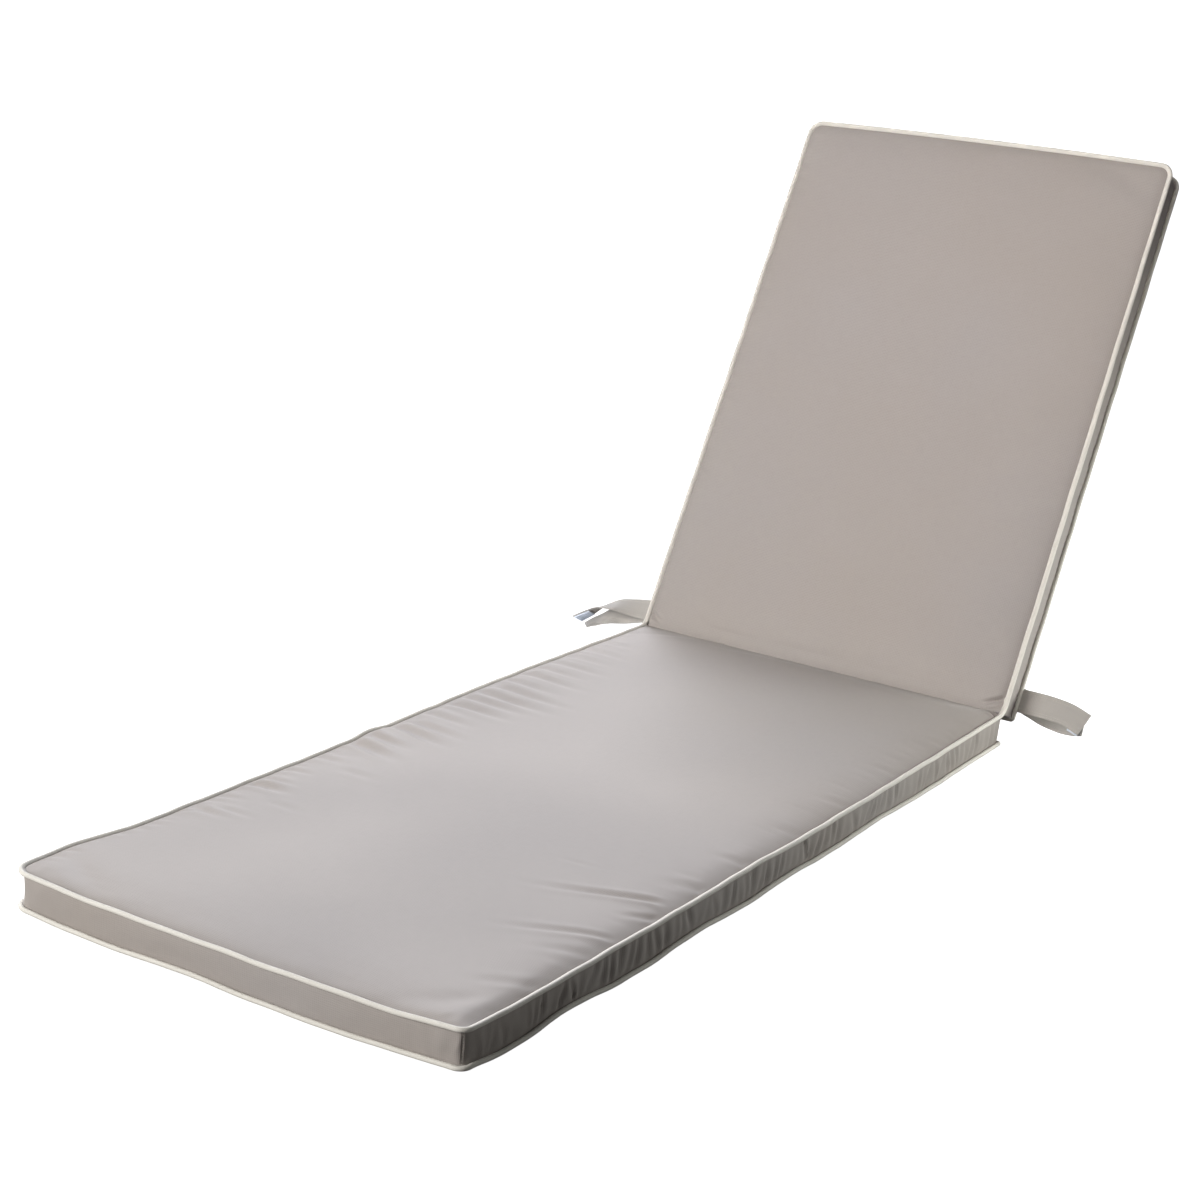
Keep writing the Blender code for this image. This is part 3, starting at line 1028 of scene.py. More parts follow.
    def lattice(self) -> tuple[np.ndarray, np.ndarray, np.ndarray]:
        """Lay the cover's lattice out on the pattern.

        Returns:
            The lattice points' places on the pattern, the quads, and the UV of each quad's corners.
        """
        x, s, level = self.lines_across(), self.lines_along(), np.array(self.levels)
        shape = (len(x), len(s), len(level))
        outer = np.zeros(shape, bool)
        outer[[0, -1]] = outer[:, [0, -1]] = True
        outer[:, :, [0, -1]] = True
        index = np.full(shape, -1)
        index[outer] = np.arange(outer.sum())
        places = np.stack(np.meshgrid(x, s, level, indexing="ij"), axis=-1)[outer]
        sheets = (
            (Panel.TOP, index[:, :, -1], False),
            (Panel.UNDER, index[:, :, 0], True),
            (Panel.SIDE, index[-1], False),
            (Panel.SIDE, index[0], True),
            (Panel.END, index[:, 0], False),
            (Panel.END, index[:, -1], True),
        )
        quads, uvs = [], []
        for panel, numbers, flip in sheets:
            faces = grid_faces(numbers, flip)
            corner = places[faces]
            high = corner[..., 2] * self.pattern.boxing_height
            across = corner[..., 1] if panel is Panel.SIDE else corner[..., 0]
            up = corner[..., 1] if panel in (Panel.TOP, Panel.UNDER) else high
            quads.append(faces)
            uvs.append(np.stack([across, up], axis=-1).reshape(-1, 2))
        return places, np.concatenate(quads), np.concatenate(uvs)

    def simulate(self, cover: bpy.types.Object, places: np.ndarray) -> None:
        """Swell the cover between its pinned seams by cloth simulation, and cap how far it goes.

        Args:
            cover: The cover, whose mesh is changed.
            places: The lattice points' places on the pattern.
        """
        p = self.pattern
        x, s, level = places.T
        on_hinge = np.abs(s - p.seat_length) < self.held_zone
        held = p.sewn(x, s, level) | on_hinge | ((level == 0) & (s < p.seat_length))
        group = cover.vertex_groups.new(name="sewn")
        group.add(np.flatnonzero(held).tolist(), 1.0, "REPLACE")
        modifier = cover.modifiers.new("fill", "CLOTH")
        settings = {
            "quality": 5,
            "mass": 0.25,
            "tension_stiffness": 25,
            "compression_stiffness": 12,
            "shear_stiffness": 8,
            "bending_stiffness": 0.6,
            "vertex_group_mass": group.name,
            "shrink_min": -0.012,
            "use_pressure": True,
            "uniform_pressure_force": self.sim_pressure,
        }
        for name, value in settings.items():
            setattr(modifier.settings, name, value)
        modifier.settings.effector_weights.gravity = 0.0
        modifier.point_cache.frame_start = 1
        modifier.point_cache.frame_end = self.sim_frames
        before = np.array([v.co for v in cover.data.vertices])
        normals = np.array([v.normal for v in cover.data.vertices])
        for number in range(1, self.sim_frames + 1):
            bpy.context.scene.frame_set(number)
        settled = evaluated(cover)
        after = np.array([v.co for v in settled.vertices])
        bpy.data.meshes.remove(settled)
        cover.modifiers.remove(modifier)
        cover.vertex_groups.clear()
        bpy.context.scene.frame_set(1)
        moved = after - before
        sunk = np.minimum((moved * normals).sum(axis=1), 0.0)
        moved -= normals * sunk[:, None] * (1 - self.sink_share)
        far = np.linalg.norm(moved, axis=1)
        inward = np.minimum(p.half_seam - np.abs(x), p.from_end(s))
        panel = self.panel_cap * (self.cap_at_seam + (1 - self.cap_at_seam) * ease(inward / self.cap_reach))
        cap = np.where(level % 1 == 0, panel, self.boxing_cap)
        softened = cap * np.tanh(far / cap) / np.maximum(far, LEAST)
        cover.data.vertices.foreach_set("co", (before + moved * softened[:, None]).ravel())
        LOG.info("cloth moved %.1f mm on average, %.1f mm at most", far.mean() / MM, far.max() / MM)

    def boxing_puckers(self, x: np.ndarray, s: np.ndarray, level: np.ndarray) -> np.ndarray:
        """Heights of the small upright puckers that the seams draw into the boxing.

        Args:
            x: Places across.
            s: Places along.
            level: 0 at the lower seam to 1 at the upper seam.

        Returns:
            Heights off the boxing's face.
        """
        p = self.pattern
        rng = np.random.default_rng(RANDOM_SEED)
        height = np.zeros(len(x))
        count = self.pucker_count
        in_end = p.from_end(s)
        masks = (
            x > p.half_seam - PANEL_EDGE,
            x < -p.half_seam + PANEL_EDGE,
            (in_end < PANEL_EDGE) & (s < p.seat_length),
            (in_end < PANEL_EDGE) & (s > p.seat_length),
        )
        for mask, along, strength in zip(masks, (s, s, x, x), self.pucker_strengths):
            knots = np.cumsum(rng.uniform(*self.pucker_gap, count)) + along.min()
            depth = rng.uniform(*self.pucker_range, count)
            tilt = rng.normal(0.0, self.pucker_tilt, count)
            skew = rng.uniform(-self.pucker_skew, self.pucker_skew, count)
            place = along + np.interp(along, knots, tilt) * (level - 0.5) * p.boxing_height
            phase = np.interp(place, knots, np.arange(float(count)))
            deep = np.interp(place, knots, depth) * (1 + np.interp(place, knots, skew) * (2 * level - 1))
            wave = (0.5 + 0.5 * np.cos(2 * np.pi * phase)) ** self.pucker_sharpness
            shape = np.sin(np.pi * np.clip(level, 0, 1)) ** self.pucker_fullness
            calm = 1 - self.pucker_back_calm * ease((s - p.seat_length) / self.pucker_back_fade)
            if along is s:
                share = self.pucker_foot_share
                further = ease((s - self.pucker_foot_start) / self.pucker_foot_fade)
                calm = calm * (share + (1 - share) * further)
            height += np.where(mask, -strength * deep * self.pucker_depth * wave * shape * calm, 0.0)
        off_hinge = np.abs(s - p.seat_length) - self.pucker_hinge_start
        return height * ease(off_hinge / self.pucker_hinge_fade)

    def panel_folds(self, x: np.ndarray, s: np.ndarray) -> np.ndarray:
        """Heights of the creases and small puckers of the top panel.

        Args:
            x: Places across.
            s: Places along.

        Returns:
            Heights off the panel's face.
        """
        p = self.pattern
        rng = np.random.default_rng(RANDOM_SEED + 1)
        folds = [fold.stretched(self.left_stretch) for fold in self.left_folds]
        folds += [*self.right_folds, *self.hinge_folds]
        low, high = self.small_margin, p.total_length / MM - self.small_margin
        for side in Side:
            calm = 1.0 if side is Side.LEFT else self.right_calm
            for at in np.arange(self.side_start, high, self.side_spacing):
                at += rng.uniform(-self.side_jitter, self.side_jitter)
                if abs(at - p.seat_length / MM) < self.side_start:
                    continue
                inner = self.small_half - rng.uniform(*self.side_length)
                end = (side.value * inner, at + rng.uniform(-self.side_slant, self.side_slant))
                width, depth = rng.uniform(*self.small_width), rng.uniform(*self.side_depth)
                folds.append(Fold((side.value * self.small_half, at), end, width, depth * calm))
        for at in np.arange(-self.end_half, self.end_half + 1, self.end_spacing):
            at += rng.uniform(-self.end_jitter, self.end_jitter)
            for edge, inward in ((low, 1), (high, -1)):
                across = at + rng.uniform(-self.end_slant, self.end_slant)
                end = (across, edge + inward * rng.uniform(*self.end_length))
                width, depth = rng.uniform(*self.small_width), rng.uniform(*self.end_depth)
                folds.append(Fold((at, edge), end, width, depth))
        return self.fold_gain * sum(fold.value(x, s) for fold in folds)

    def build(self) -> bpy.types.Object:
        """Build the cover.

        Returns:
            The finished cover, with its folds in its mesh.
        """
        p = self.pattern
        places, quads, uvs = self.lattice()
        x, s, level = places.T
        fill = self.sim_fill
        data = bpy.data.meshes.new("filled_cover")
        data.from_pydata(self.surface(x, s, level, fill).tolist(), [], quads.tolist())
        write_uv(data, uvs)
        write_attribute(data, PATTERN_ATTRIBUTE, places)
        sewn = p.sewn(x, s, level)
        on_hinge = np.abs(s - p.seat_length) < TINY
        ends = np.array([e.vertices[:] for e in data.edges])
        same = level[ends[:, 0]] == level[ends[:, 1]]
        sharp = same & (sewn[ends].all(axis=1) | (on_hinge[ends].all(axis=1) & (level[ends[:, 0]] == 1)))
        write_attribute(data, "crease_edge", sharp, "EDGE")
        cover = new_object("filled_cover", data)
        self.simulate(cover, places)
        cover.modifiers.new("smooth", "SUBSURF").levels = 1
        fine = evaluated(cover)
        cover.modifiers.clear()
        cover.data = fine
        fine.name = "filled_cover"
        self.crease(fine)
        fine.shade_smooth()
        fine.set_sharp_from_angle(angle=self.sharp_angle)
        return cover

    def crease(self, mesh: bpy.types.Mesh) -> None:
        """Draw folds and puckers into the fine mesh, and mark what lies near a seam.

        Args:
            mesh: The cover's fine mesh, which is changed.
        """
        p = self.pattern
        count = len(mesh.vertices)
        places = np.zeros(count * 3, np.float32)
        mesh.attributes[PATTERN_ATTRIBUTE].data.foreach_get("vector", places)
        x, s, level = places.reshape(-1, 3).astype(float).T
        co = np.zeros(count * 3)
        mesh.vertices.foreach_get("co", co)
        co = co.reshape(-1, 3)
        normals = np.array([v.normal for v in mesh.vertices])
        inward = np.minimum(p.half_seam - np.abs(x), p.from_end(s))
        off_hinge = np.abs(s - p.seat_length)
        near = ease(inward / self.fold_calm) * ease(off_hinge / self.fold_calm)
        on_upper, on_lower = level > 1 - self.level_margin, level < self.level_margin
        top = np.where(on_upper, self.panel_folds(x, s) * near, 0.0)
        boxing = np.where(~on_upper & ~on_lower, self.boxing_puckers(x, s, level), 0.0)
        co += normals * (top + boxing)[:, None]
        co[:, 2] = np.where(on_lower & (s < p.seat_length), np.maximum(co[:, 2], 0.0), co[:, 2])
        mesh.vertices.foreach_set("co", co.ravel())
        seam = np.minimum(inward, off_hinge) / self.panel_mark
        edge = np.minimum(np.minimum(level, 1 - level) * p.boxing_height, off_hinge) / self.boxing_mark
        nearness = 1 - ease(np.where(on_upper | on_lower, seam, edge))
        write_attribute(mesh, SEAM_ATTRIBUTE, nearness)
        mesh.update()

    def dress(self, cover: bpy.types.Object, canvas: bpy.types.Material) -> None:
        """Give the cover its canvas, and say what it stands for."""
        cover.data.materials.clear()
        cover.data.materials.append(canvas)
        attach(cover, "root")
        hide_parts("cushion")


@dataclass
class Welts:
    """Three cream welts: one round the top panel, one round the underside and one round the rear panel."""

    pattern: Pattern
    radius: float = 0.0026
    flange: float = 0.0052
    end_setback: float = 0.005
    hinge_corner: float = 0.0035
    hinge_bend: float = 0.012
    step: float = 0.004
    corner_steps: int = 10
    around: int = 14
    unevenness: float = 0.0001
    evened_over: int = 4

    def outline(self, low: float, high: float, radii: tuple[float, float, float, float]) -> np.ndarray:
        """Closed rounded outline on the pattern, anticlockwise from the lower right corner.

        Args:
            low: Where it starts along the pattern.
            high: Where it ends along the pattern.
            radii: Radius of each corner, in the outline's order.

        Returns:
            Rows of the place across and along, and the outward direction across and along.
        """
        side = self.pattern.width / 2
        signs = ((1, low, 1), (1, high, -1), (-1, high, -1), (-1, low, 1))
        corners = [
            (across * (side - radius), end + inward * radius, radius, 270 + 90 * i)
            for i, ((across, end, inward), radius) in enumerate(zip(signs, radii))
        ]
        turns = []
        for cx, cs, radius, start in corners:
            angle = np.radians(start + np.linspace(0, 90, self.corner_steps + 1))
            cos, sin = np.cos(angle), np.sin(angle)
            turns.append(np.stack([cx + radius * cos, cs + radius * sin, cos, sin], axis=-1))
        rows = []
        for turn, following in zip(turns, turns[1:] + turns[:1]):
            gap = following[0] - turn[-1]
            count = max(1, round(float(np.hypot(gap[0], gap[1])) / self.step))
            share = np.linspace(0, 1, count + 1)[1:-1, None]
            rows += [turn, turn[-1] + gap * share]
        return np.concatenate(rows)

    def along(self, rows: np.ndarray, level: float) -> tuple[np.ndarray, np.ndarray]:
        """World places along an outline, and the outward direction at each.

        Args:
            rows: Rows of the outline.
            level: 0 for a lower seam, 1 for the upper one.

        Returns:
            The places and the directions.
        """
        p = self.pattern
        x, s, out_x, out_s = rows.T
        height = np.full(len(x), level * p.boxing_height)
        lift = p.lift(x, s, np.full(len(x), level))
        here = p.place(x, s, height, lift)
        further = p.place(x + out_x * MM, s + out_s * MM, height, lift)
        return here, further - here

    def bent(self, places: np.ndarray, rows: np.ndarray) -> np.ndarray:
        """Round the upper welt's two sharp turns at the hinge.

        Args:
            places: World places along the outline.
            rows: Rows of the outline.

        Returns:
            The places, with those near the hinge moved onto a smooth bend.
        """
        p = self.pattern
        places = places.copy()
        s = rows[:, 1]
        for side in Side:
            x = np.array([side.value * p.width / 2])
            level = np.array([p.boxing_height])
            before, corner, after = (
                p.place(x, np.array([p.seat_length + off]), level)[0]
                for off in (-self.hinge_bend, 0.0, self.hinge_bend)
            )
            near = (np.abs(s - p.seat_length) <= self.hinge_bend) & (rows[:, 0] * side.value > 0)
            t = ((s[near] - p.seat_length) / self.hinge_bend / 2 + 0.5)[:, None]
            places[near] = before * (1 - t) ** 2 + corner * 2 * t * (1 - t) + after * t**2
        return places

    def sweep(self, name: str, places: np.ndarray, outward: np.ndarray, seed: int) -> bpy.types.Object:
        """Sweep the welt's rounded section along a closed route.

        Args:
            name: Name of the piece.
            places: World places along the route.
            outward: Direction away from the panel at each place.
            seed: Seed of the welt's own small unevenness.

        Returns:
            The welt, with a flange that goes into the seam.
        """
        ahead = np.roll(places, -1, axis=0) - np.roll(places, 1, axis=0)
        ahead /= np.linalg.norm(ahead, axis=1)[:, None]
        outward = outward - (outward * ahead).sum(axis=1)[:, None] * ahead
        outward /= np.linalg.norm(outward, axis=1)[:, None]
        up = np.cross(ahead, outward)
        step = np.linalg.norm(np.roll(places, -1, axis=0) - places, axis=1)
        run = np.concatenate([[0.0], np.cumsum(step)])
        rng = np.random.default_rng(seed)
        rings, around = len(places), self.around
        rough = np.tile(rng.normal(0, 1, rings), 3)
        uneven = np.convolve(rough, np.ones(self.evened_over) / self.evened_over, "same")
        uneven = uneven[rings : 2 * rings] * self.unevenness
        angle = np.linspace(0, 2 * np.pi, self.around, endpoint=False)
        section = np.full(self.around, self.radius)
        section[self.around // 2] = self.flange
        reach = section[None, :] + uneven[:, None] * np.where(section > self.radius, 0, 1)
        ring = (
            places[:, None]
            + outward[:, None] * (reach * np.cos(angle))[..., None]
            + up[:, None] * (reach * np.sin(angle))[..., None]
        )
        number = np.arange(rings * around).reshape(rings, around)
        wrapped = np.concatenate([number, number[:1]])
        wrapped = np.concatenate([wrapped, wrapped[:, :1]], axis=1)
        faces = grid_faces(wrapped, True)
        girth = np.linspace(0, 2 * np.pi * self.radius, around + 1)
        length, lap = np.meshgrid(run, girth, indexing="ij")
        flat = np.stack([length, lap], axis=-1)
        corners = [flat[:-1, :-1], flat[1:, :-1], flat[1:, 1:], flat[:-1, 1:]]
        data = bpy.data.meshes.new(name)
        data.from_pydata(ring.reshape(-1, 3).tolist(), [], faces.tolist())
        write_uv(data, np.stack(corners, axis=2).reshape(-1, 4, 2)[:, ::-1])
        data.shade_smooth()
        return new_object(name, data)

    def build(self) -> dict[str, bpy.types.Object]:
        """Build the three welts.

        Returns:
            Each welt by the name of the node that it stands for.
        """
        p = self.pattern
        radius = p.corner_radius + p.piping_nest
        right_foot = p.right_foot_radius + p.piping_nest
        tight = self.hinge_corner
        seat_end = p.seat_length - self.end_setback + p.piping_nest
        back_start = p.seat_length + self.end_setback - p.piping_nest
        made = {}
        rows = self.outline(0.0, p.total_length, (right_foot, radius, radius, radius))
        places, outward = self.along(rows, 1.0)
        places = self.bent(places, rows)
        made["piping_top"] = self.sweep("welt_top", places, outward, RANDOM_SEED + 2)
        rows = self.outline(0.0, seat_end, (right_foot, tight, tight, radius))
        places, outward = self.along(rows, 0.0)
        made["piping_seat_underside"] = self.sweep("welt_seat_underside", places, outward, RANDOM_SEED + 3)
        rows = self.outline(back_start, p.total_length, (tight, radius, radius, tight))
        places, outward = self.along(rows, 0.0)
        made["piping_back_rear"] = self.sweep("welt_back_rear", places, outward, RANDOM_SEED + 4)
        return made

    def dress(self, welts: dict[str, bpy.types.Object], tape: bpy.types.Material) -> None:
        """Give each welt its tape, and say what it stands for."""
        for node, welt in welts.items():
            welt.data.materials.append(tape)
            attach(welt, "root")
            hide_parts(node)


@dataclass(frozen=True)
class Route:
    """Way of a tie strap.

    Each row holds its distance out, its drop and its set to the rear in millimetres, and its lean in degrees.
    """

    side: Side
    rows: tuple[tuple[float, float, float, float], ...]

    def at(self, share: float) -> tuple[float, ...]:
        """Row values at a share of the way, on a smooth curve through the rows."""
        place = min(max(share, 0.0), 1.0) * (len(self.rows) - 1)
        index = min(int(place), len(self.rows) - 2)
        t = place - index
        picked = [self.rows[min(max(index + off, 0), len(self.rows) - 1)] for off in (-1, 0, 1, 2)]
        values = []
        for a, b, c, d in zip(*picked):
            slope_b, slope_c = (c - a) / 2, (d - b) / 2
            curve = (2 * b - 2 * c + slope_b + slope_c) * t + 3 * c - 3 * b - 2 * slope_b - slope_c
            values.append((curve * t + slope_b) * t + b)
        return tuple(values)


ROUTES = {
    "tie_right_front": Route(
        Side.RIGHT,
        ((0, 0, 0, 61), (27, 0, 0, 60), (47, 1, 0, 58), (68, 4, 0, 57), (91, 12, 0, 58)),
    ),
    "tie_right_rear": Route(
        Side.RIGHT,
        (
            *((0, 0, 2.8, 61), (14, 6, 7, 60), (30, 14, 12, 58), (46, 18, 14, 57)),
            *((61, 19, 12.5, 57), (76, 17, 9, 57), (89, 13, 4.6, 58)),
        ),
    ),
    "tie_left_upper": Route(
        Side.LEFT,
        (
            *((0, 0, 0, 61), (28, 3, 4, 50), (52, 4, 3, 32), (74, 5, -1, 16)),
            *((94, 11, -6, -3), (109, 20, -13, -17), (128, 33, -20, -24)),
        ),
    ),
    "tie_left_lower": Route(
        Side.LEFT,
        (
            *((0, 0, 2.8, 61), (28, 9, 8, 47), (52, 15.5, 5, 42)),
            *((76, 20.3, -2.8, 38), (98, 31.4, -9.9, 22), (112, 39.3, -20.9, 10)),
        ),
    ),
}


@dataclass
class Straps:
    """Four tie straps of folded canvas, stitched along both edges."""

    pattern: Pattern
    width: float = 0.032
    thickness: float = 0.0013
    hem_thickness: float = 0.0021
    hem_width: float = 0.0075
    groove: float = 0.00045
    stitch_rows: tuple[float, ...] = (0.0022, 0.0052)
    root: float = 0.030
    gap: float = 0.0003
    piping_radius: float = 0.0025
    tangent_share: float = 0.02
    root_share: float = 0.20
    sewn_in: float = 0.008
    steps: int = 72
    across: int = 22
    lead: float = 0.1
    hem_fade: float = 0.0015
    edge_round: float = 0.0012
    edge_share: float = 0.35
    stitch_pull: float = 0.0010
    pucker: float = 0.0001
    pucker_spacing: float = 0.0071
    pucker_row: float = 0.0045
    pucker_reach: float = 0.004
    cupping: float = 0.0009
    sharp_angle: float = 55
    line_points: int = 91
    line_start: float = 0.02
    line_share: float = 0.96
    line_depth: float = 0.6

    def centre(self, route: Route, share: float) -> tuple[Vector, float]:
        """World place of a strap's middle line, and the lean of its width, at a share along it."""
        p = self.pattern
        out, drop, rear, lean = route.at(share)
        root = Vector(p.hinge) + Vector(p.up_slope) * self.root - Vector(p.face_normal) * p.boxing_height
        away = p.width / 2 + self.piping_radius + self.gap + out * MM
        if share < 0:
            away += share * self.sewn_in / self.lead
        return root + Vector((route.side.value * away, rear * MM, -drop * MM)), math.radians(lean)

    def axes(self, route: Route, share: float) -> tuple[Vector, Vector, Vector]:
        """Place of the middle line, the direction across the strap and the direction off its front face."""
        centre, lean = self.centre(route, share)
        start = self.centre(route, max(share, 0) - self.tangent_share)[0]
        end = self.centre(route, max(share, 0) + self.tangent_share)[0]
        blend = min(max(share / self.root_share, 0.0), 1.0)
        straight = Vector((route.side.value, 0, 0))
        ahead = straight.lerp((end - start).normalized(), blend * blend * (3 - 2 * blend)).normalized()
        width = Vector((0, math.cos(lean), math.sin(lean)))
        width = (width - ahead * width.dot(ahead)).normalized()
        return centre, width, ahead.cross(width) * route.side.value

    def half_thickness(self, across: float, run: float, seed: int) -> float:
        """Half the strap's thickness: full at the folded edges, thin between, drawn in by the stitches."""
        edge = self.width / 2 - abs(across)
        hem = 1 - float(ease(np.array((edge - self.hem_width) / self.hem_fade)))
        half = (self.thickness + (self.hem_thickness - self.thickness) * hem) / 2
        rounding = float(ease(np.array(edge / self.edge_round))) * (1 - self.edge_share) + self.edge_share
        drawn = sum(math.exp(-(((edge - row) / self.stitch_pull) ** 2)) for row in self.stitch_rows)
        beside = math.exp(-(((edge - self.pucker_row) / self.pucker_reach) ** 2))
        pucker = self.pucker * math.sin(run * 2 * math.pi / self.pucker_spacing + seed) * beside
        return half * rounding - self.groove * drawn + pucker

    def cup(self, across: float, share: float) -> float:
        """How far the strap's width bows, most at its middle."""
        bow = math.sin(min(max(share, 0.0), 1.0) * math.pi)
        return self.cupping * (1 - (2 * across / self.width) ** 2) * bow

    def length(self, route: Route) -> float:
        """Length of the strap outside the cushion."""
        points = [self.centre(route, i / 200)[0] for i in range(201)]
        return sum((b - a).length for a, b in zip(points, points[1:]))

    def build_strap(self, name: str, route: Route, seed: int) -> bpy.types.Object:
        """Build one strap.

        Args:
            name: Name of the piece.
            route: Its way.
            seed: Number that makes its small puckers its own.

        Returns:
            A closed thin mesh, from inside the seam to the free end.
        """
        shares = [-self.lead] + [i / self.steps for i in range(self.steps + 1)]
        widths = np.linspace(-self.width / 2, self.width / 2, self.across + 1)
        long = self.length(route)
        grids = {face: [] for face in Face}
        for share in shares:
            centre, width, off = self.axes(route, share)
            for face in Face:
                for across in map(float, widths):
                    half = self.half_thickness(across, share * long, seed)
                    lift = face.value * half + self.cup(across, share)
                    grids[face].append(centre + width * across + off * lift)
        rows, columns = len(shares), len(widths)
        points = grids[Face.FRONT] + grids[Face.REAR]
        data = thin_mesh(name, points, rows, columns, route.side is Side.LEFT, self.sharp_angle)
        run_of = np.repeat(np.array(shares) * long, columns)
        flat = np.stack([np.tile(run_of, 2), np.tile(widths, rows * 2)], axis=-1)
        write_uv(data, flat[[loop.vertex_index for loop in data.loops]])
        return new_object(name, data)

    def build(self) -> dict[str, bpy.types.Object]:
        """Build the four straps, by the name of the node that each stands for."""
        return {
            node: self.build_strap(node.replace("tie", "strap"), route, i)
            for i, (node, route) in enumerate(ROUTES.items())
        }

    def stitch_lines(self, route: Route) -> list[tuple[list[Vector], list[Vector]]]:
        """Lines of stitches on both faces of a strap.

        Args:
            route: The strap's way.

        Returns:
            For each line its places and the directions off the face.
        """
        lines = []
        last = self.line_points - 1
        shares = [self.line_start + self.line_share * i / last for i in range(last + 1)]
        for face in Face:
            for row in self.stitch_rows:
                for edge in (-1, 1):
                    across = edge * (self.width / 2 - row)
                    places, normals = [], []
                    for share in shares:
                        centre, width, off = self.axes(route, share)
                        lift = face.value * (self.hem_thickness / 2 - self.groove * self.line_depth)
                        lift += self.cup(across, share)
                        places.append(centre + width * across + off * lift)
                        normals.append(off * face.value)
                    lines.append((places, normals))
        return lines

    def dress(
        self, straps: dict[str, bpy.types.Object], canvas: bpy.types.Material, sewn: dict[str, list]
    ) -> None:
        """Give each strap its canvas, and hide the part that it stands for.

        Args:
            straps: The straps by the node each stands for.
            canvas: Their cloth.
            sewn: The pieces that are sewn on each strap, by the strap's node. It is not used.
        """
        for node, strap in straps.items():
            strap.data.materials.append(canvas)
            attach(strap, "root")
            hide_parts(node)
            size = (self.width, round(self.length(ROUTES[node]) + self.sewn_in, 4))


@dataclass
class Stitches:
    """Machine stitches, laid along lines by a node tree."""

    pitch: float = 0.0032
    length: float = 0.0025
    thickness: float = 0.00055
    seed: int = 5

    @property
    def sizes(self) -> dict[str, float | int]:
        """Values of the tree's inputs by name."""
        return {
            "Pitch": self.pitch,
            "Length": self.length,
            "Thickness": self.thickness,
            "Seed": self.seed,
        }

    def tree(self, thread: bpy.types.Material) -> bpy.types.NodeTree:
        """Build the tree that turns lines into rows of stitches.

        Args:
            thread: Material of the stitches.

        Returns:
            A tree whose inputs are the stitches' pitch, length, thickness and seed.
        """
        tree, given = new_tree("stitch_rows", self.sizes)
        curve = add_node(tree, "GeometryNodeMeshToCurve", {}, {"Mesh": given["Geometry"]})
        spaced = add_node(
            tree,
            "GeometryNodeResampleCurve",
            {"mode": "LENGTH"},
            {"Curve": curve.outputs[0], "Length": given["Pitch"]},
        )
        ball = add_node(tree, "GeometryNodeMeshUVSphere", {"Segments": 6, "Rings": 4, "Radius": 0.5})
        thick = given["Thickness"]
        size = add_node(tree, "ShaderNodeCombineXYZ", {}, {"X": given["Length"], "Y": thick, "Z": thick})
        shaped = add_node(
            tree, "GeometryNodeTransform", {}, {"Geometry": ball.outputs["Mesh"], "Scale": size.outputs[0]}
        )
        smooth = add_node(tree, "GeometryNodeSetShadeSmooth", {}, {"Geometry": shaped.outputs[0]})
        read = {"data_type": "FLOAT_VECTOR", "Name": NORMAL_ATTRIBUTE}
        normal = add_node(tree, "GeometryNodeInputNamedAttribute", read).outputs["Attribute"]
        tangent = add_node(tree, "GeometryNodeInputTangent").outputs["Tangent"]
        turn = add_node(
            tree,
            "FunctionNodeAxesToRotation",
            {"primary_axis": "Z", "secondary_axis": "X"},
            {0: normal, 1: tangent},
        )
        points, piece = spaced.outputs[0], smooth.outputs[0]
        stand_pieces(tree, points, piece, turn.outputs[0], given["Seed"], (0.9, 1.08), thread)
        return tree

    def sew(self, name: str, lines: list, tree: bpy.types.NodeTree) -> bpy.types.Object:
        """Sew rows of stitches along lines.

        Args:
            name: Name of the piece.
            lines: For each line its places and the directions off the cloth.
            tree: The tree that lays the stitches.

        Returns:
            The stitches as one plain mesh.
        """
        places, normals, edges = [], [], []
        for line, off in lines:
            start = len(places)
            places += [tuple(place) for place in line]
            normals += [tuple(direction) for direction in off]
            edges += [(i, i + 1) for i in range(start, len(places) - 1)]
        stitches = grow(name, places, normals, edges, tree, self.sizes)
        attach(stitches, "root")
        return stitches


@dataclass
class CoverSeams:
    """Lines of stitches that show on the cover: at the hinge's crease and at the boxing's corner joins."""

    pattern: Pattern
    corner_points: int = 24
    corner_off: float = 0.0013
    hinge_points: int = 120
    hinge_inset: float = 0.006
    hinge_off: float = 0.0011

    def corner(self, side: Side, at_foot: bool) -> tuple[list[Vector], list[Vector]]:
        """Upright line of stitches at a corner of the boxing, and the directions off it."""
        p = self.pattern
        radius = p.right_foot_radius if at_foot and side is Side.RIGHT else p.corner_radius
        diagonal = radius * (1 - math.cos(math.pi / 4))
        across = side.value * (p.half_seam - diagonal)
        along = p.piping_nest + diagonal
        s = along if at_foot else p.total_length - along
        count = self.corner_points
        levels = np.linspace(0.08, 0.92, count)
        x, s = np.full(count, across), np.full(count, s)
        here = p.place(x, s, levels * p.boxing_height, p.lift(x, s, levels))
        lengthwise = np.array([0.0, -1.0, 0.0]) if at_foot else p.up_slope
        outward = (np.array([side.value, 0.0, 0.0]) + lengthwise) / math.sqrt(2)
        return [Vector(point + outward * self.corner_off) for point in here], [Vector(outward)] * count

    def hinge(self) -> tuple[list[Vector], list[Vector]]:
        """Line of stitches across the hinge's crease, and the directions off it."""
        p = self.pattern
        reach = p.half_seam - self.hinge_inset
        off = Vector(p.face_normal) + Vector((0, 0, 1))
        off.normalize()
        middle = Vector(p.hinge) + off * self.hinge_off
        places = [middle + Vector((float(x), 0, 0)) for x in np.linspace(-reach, reach, self.hinge_points)]
        return places, [off] * len(places)

    def lines(self) -> list[tuple[list[Vector], list[Vector]]]:
        """All the cover's lines of stitches."""
        corners = [self.corner(side, at_foot) for side in Side for at_foot in (True, False)]
        return [self.hinge(), *corners]


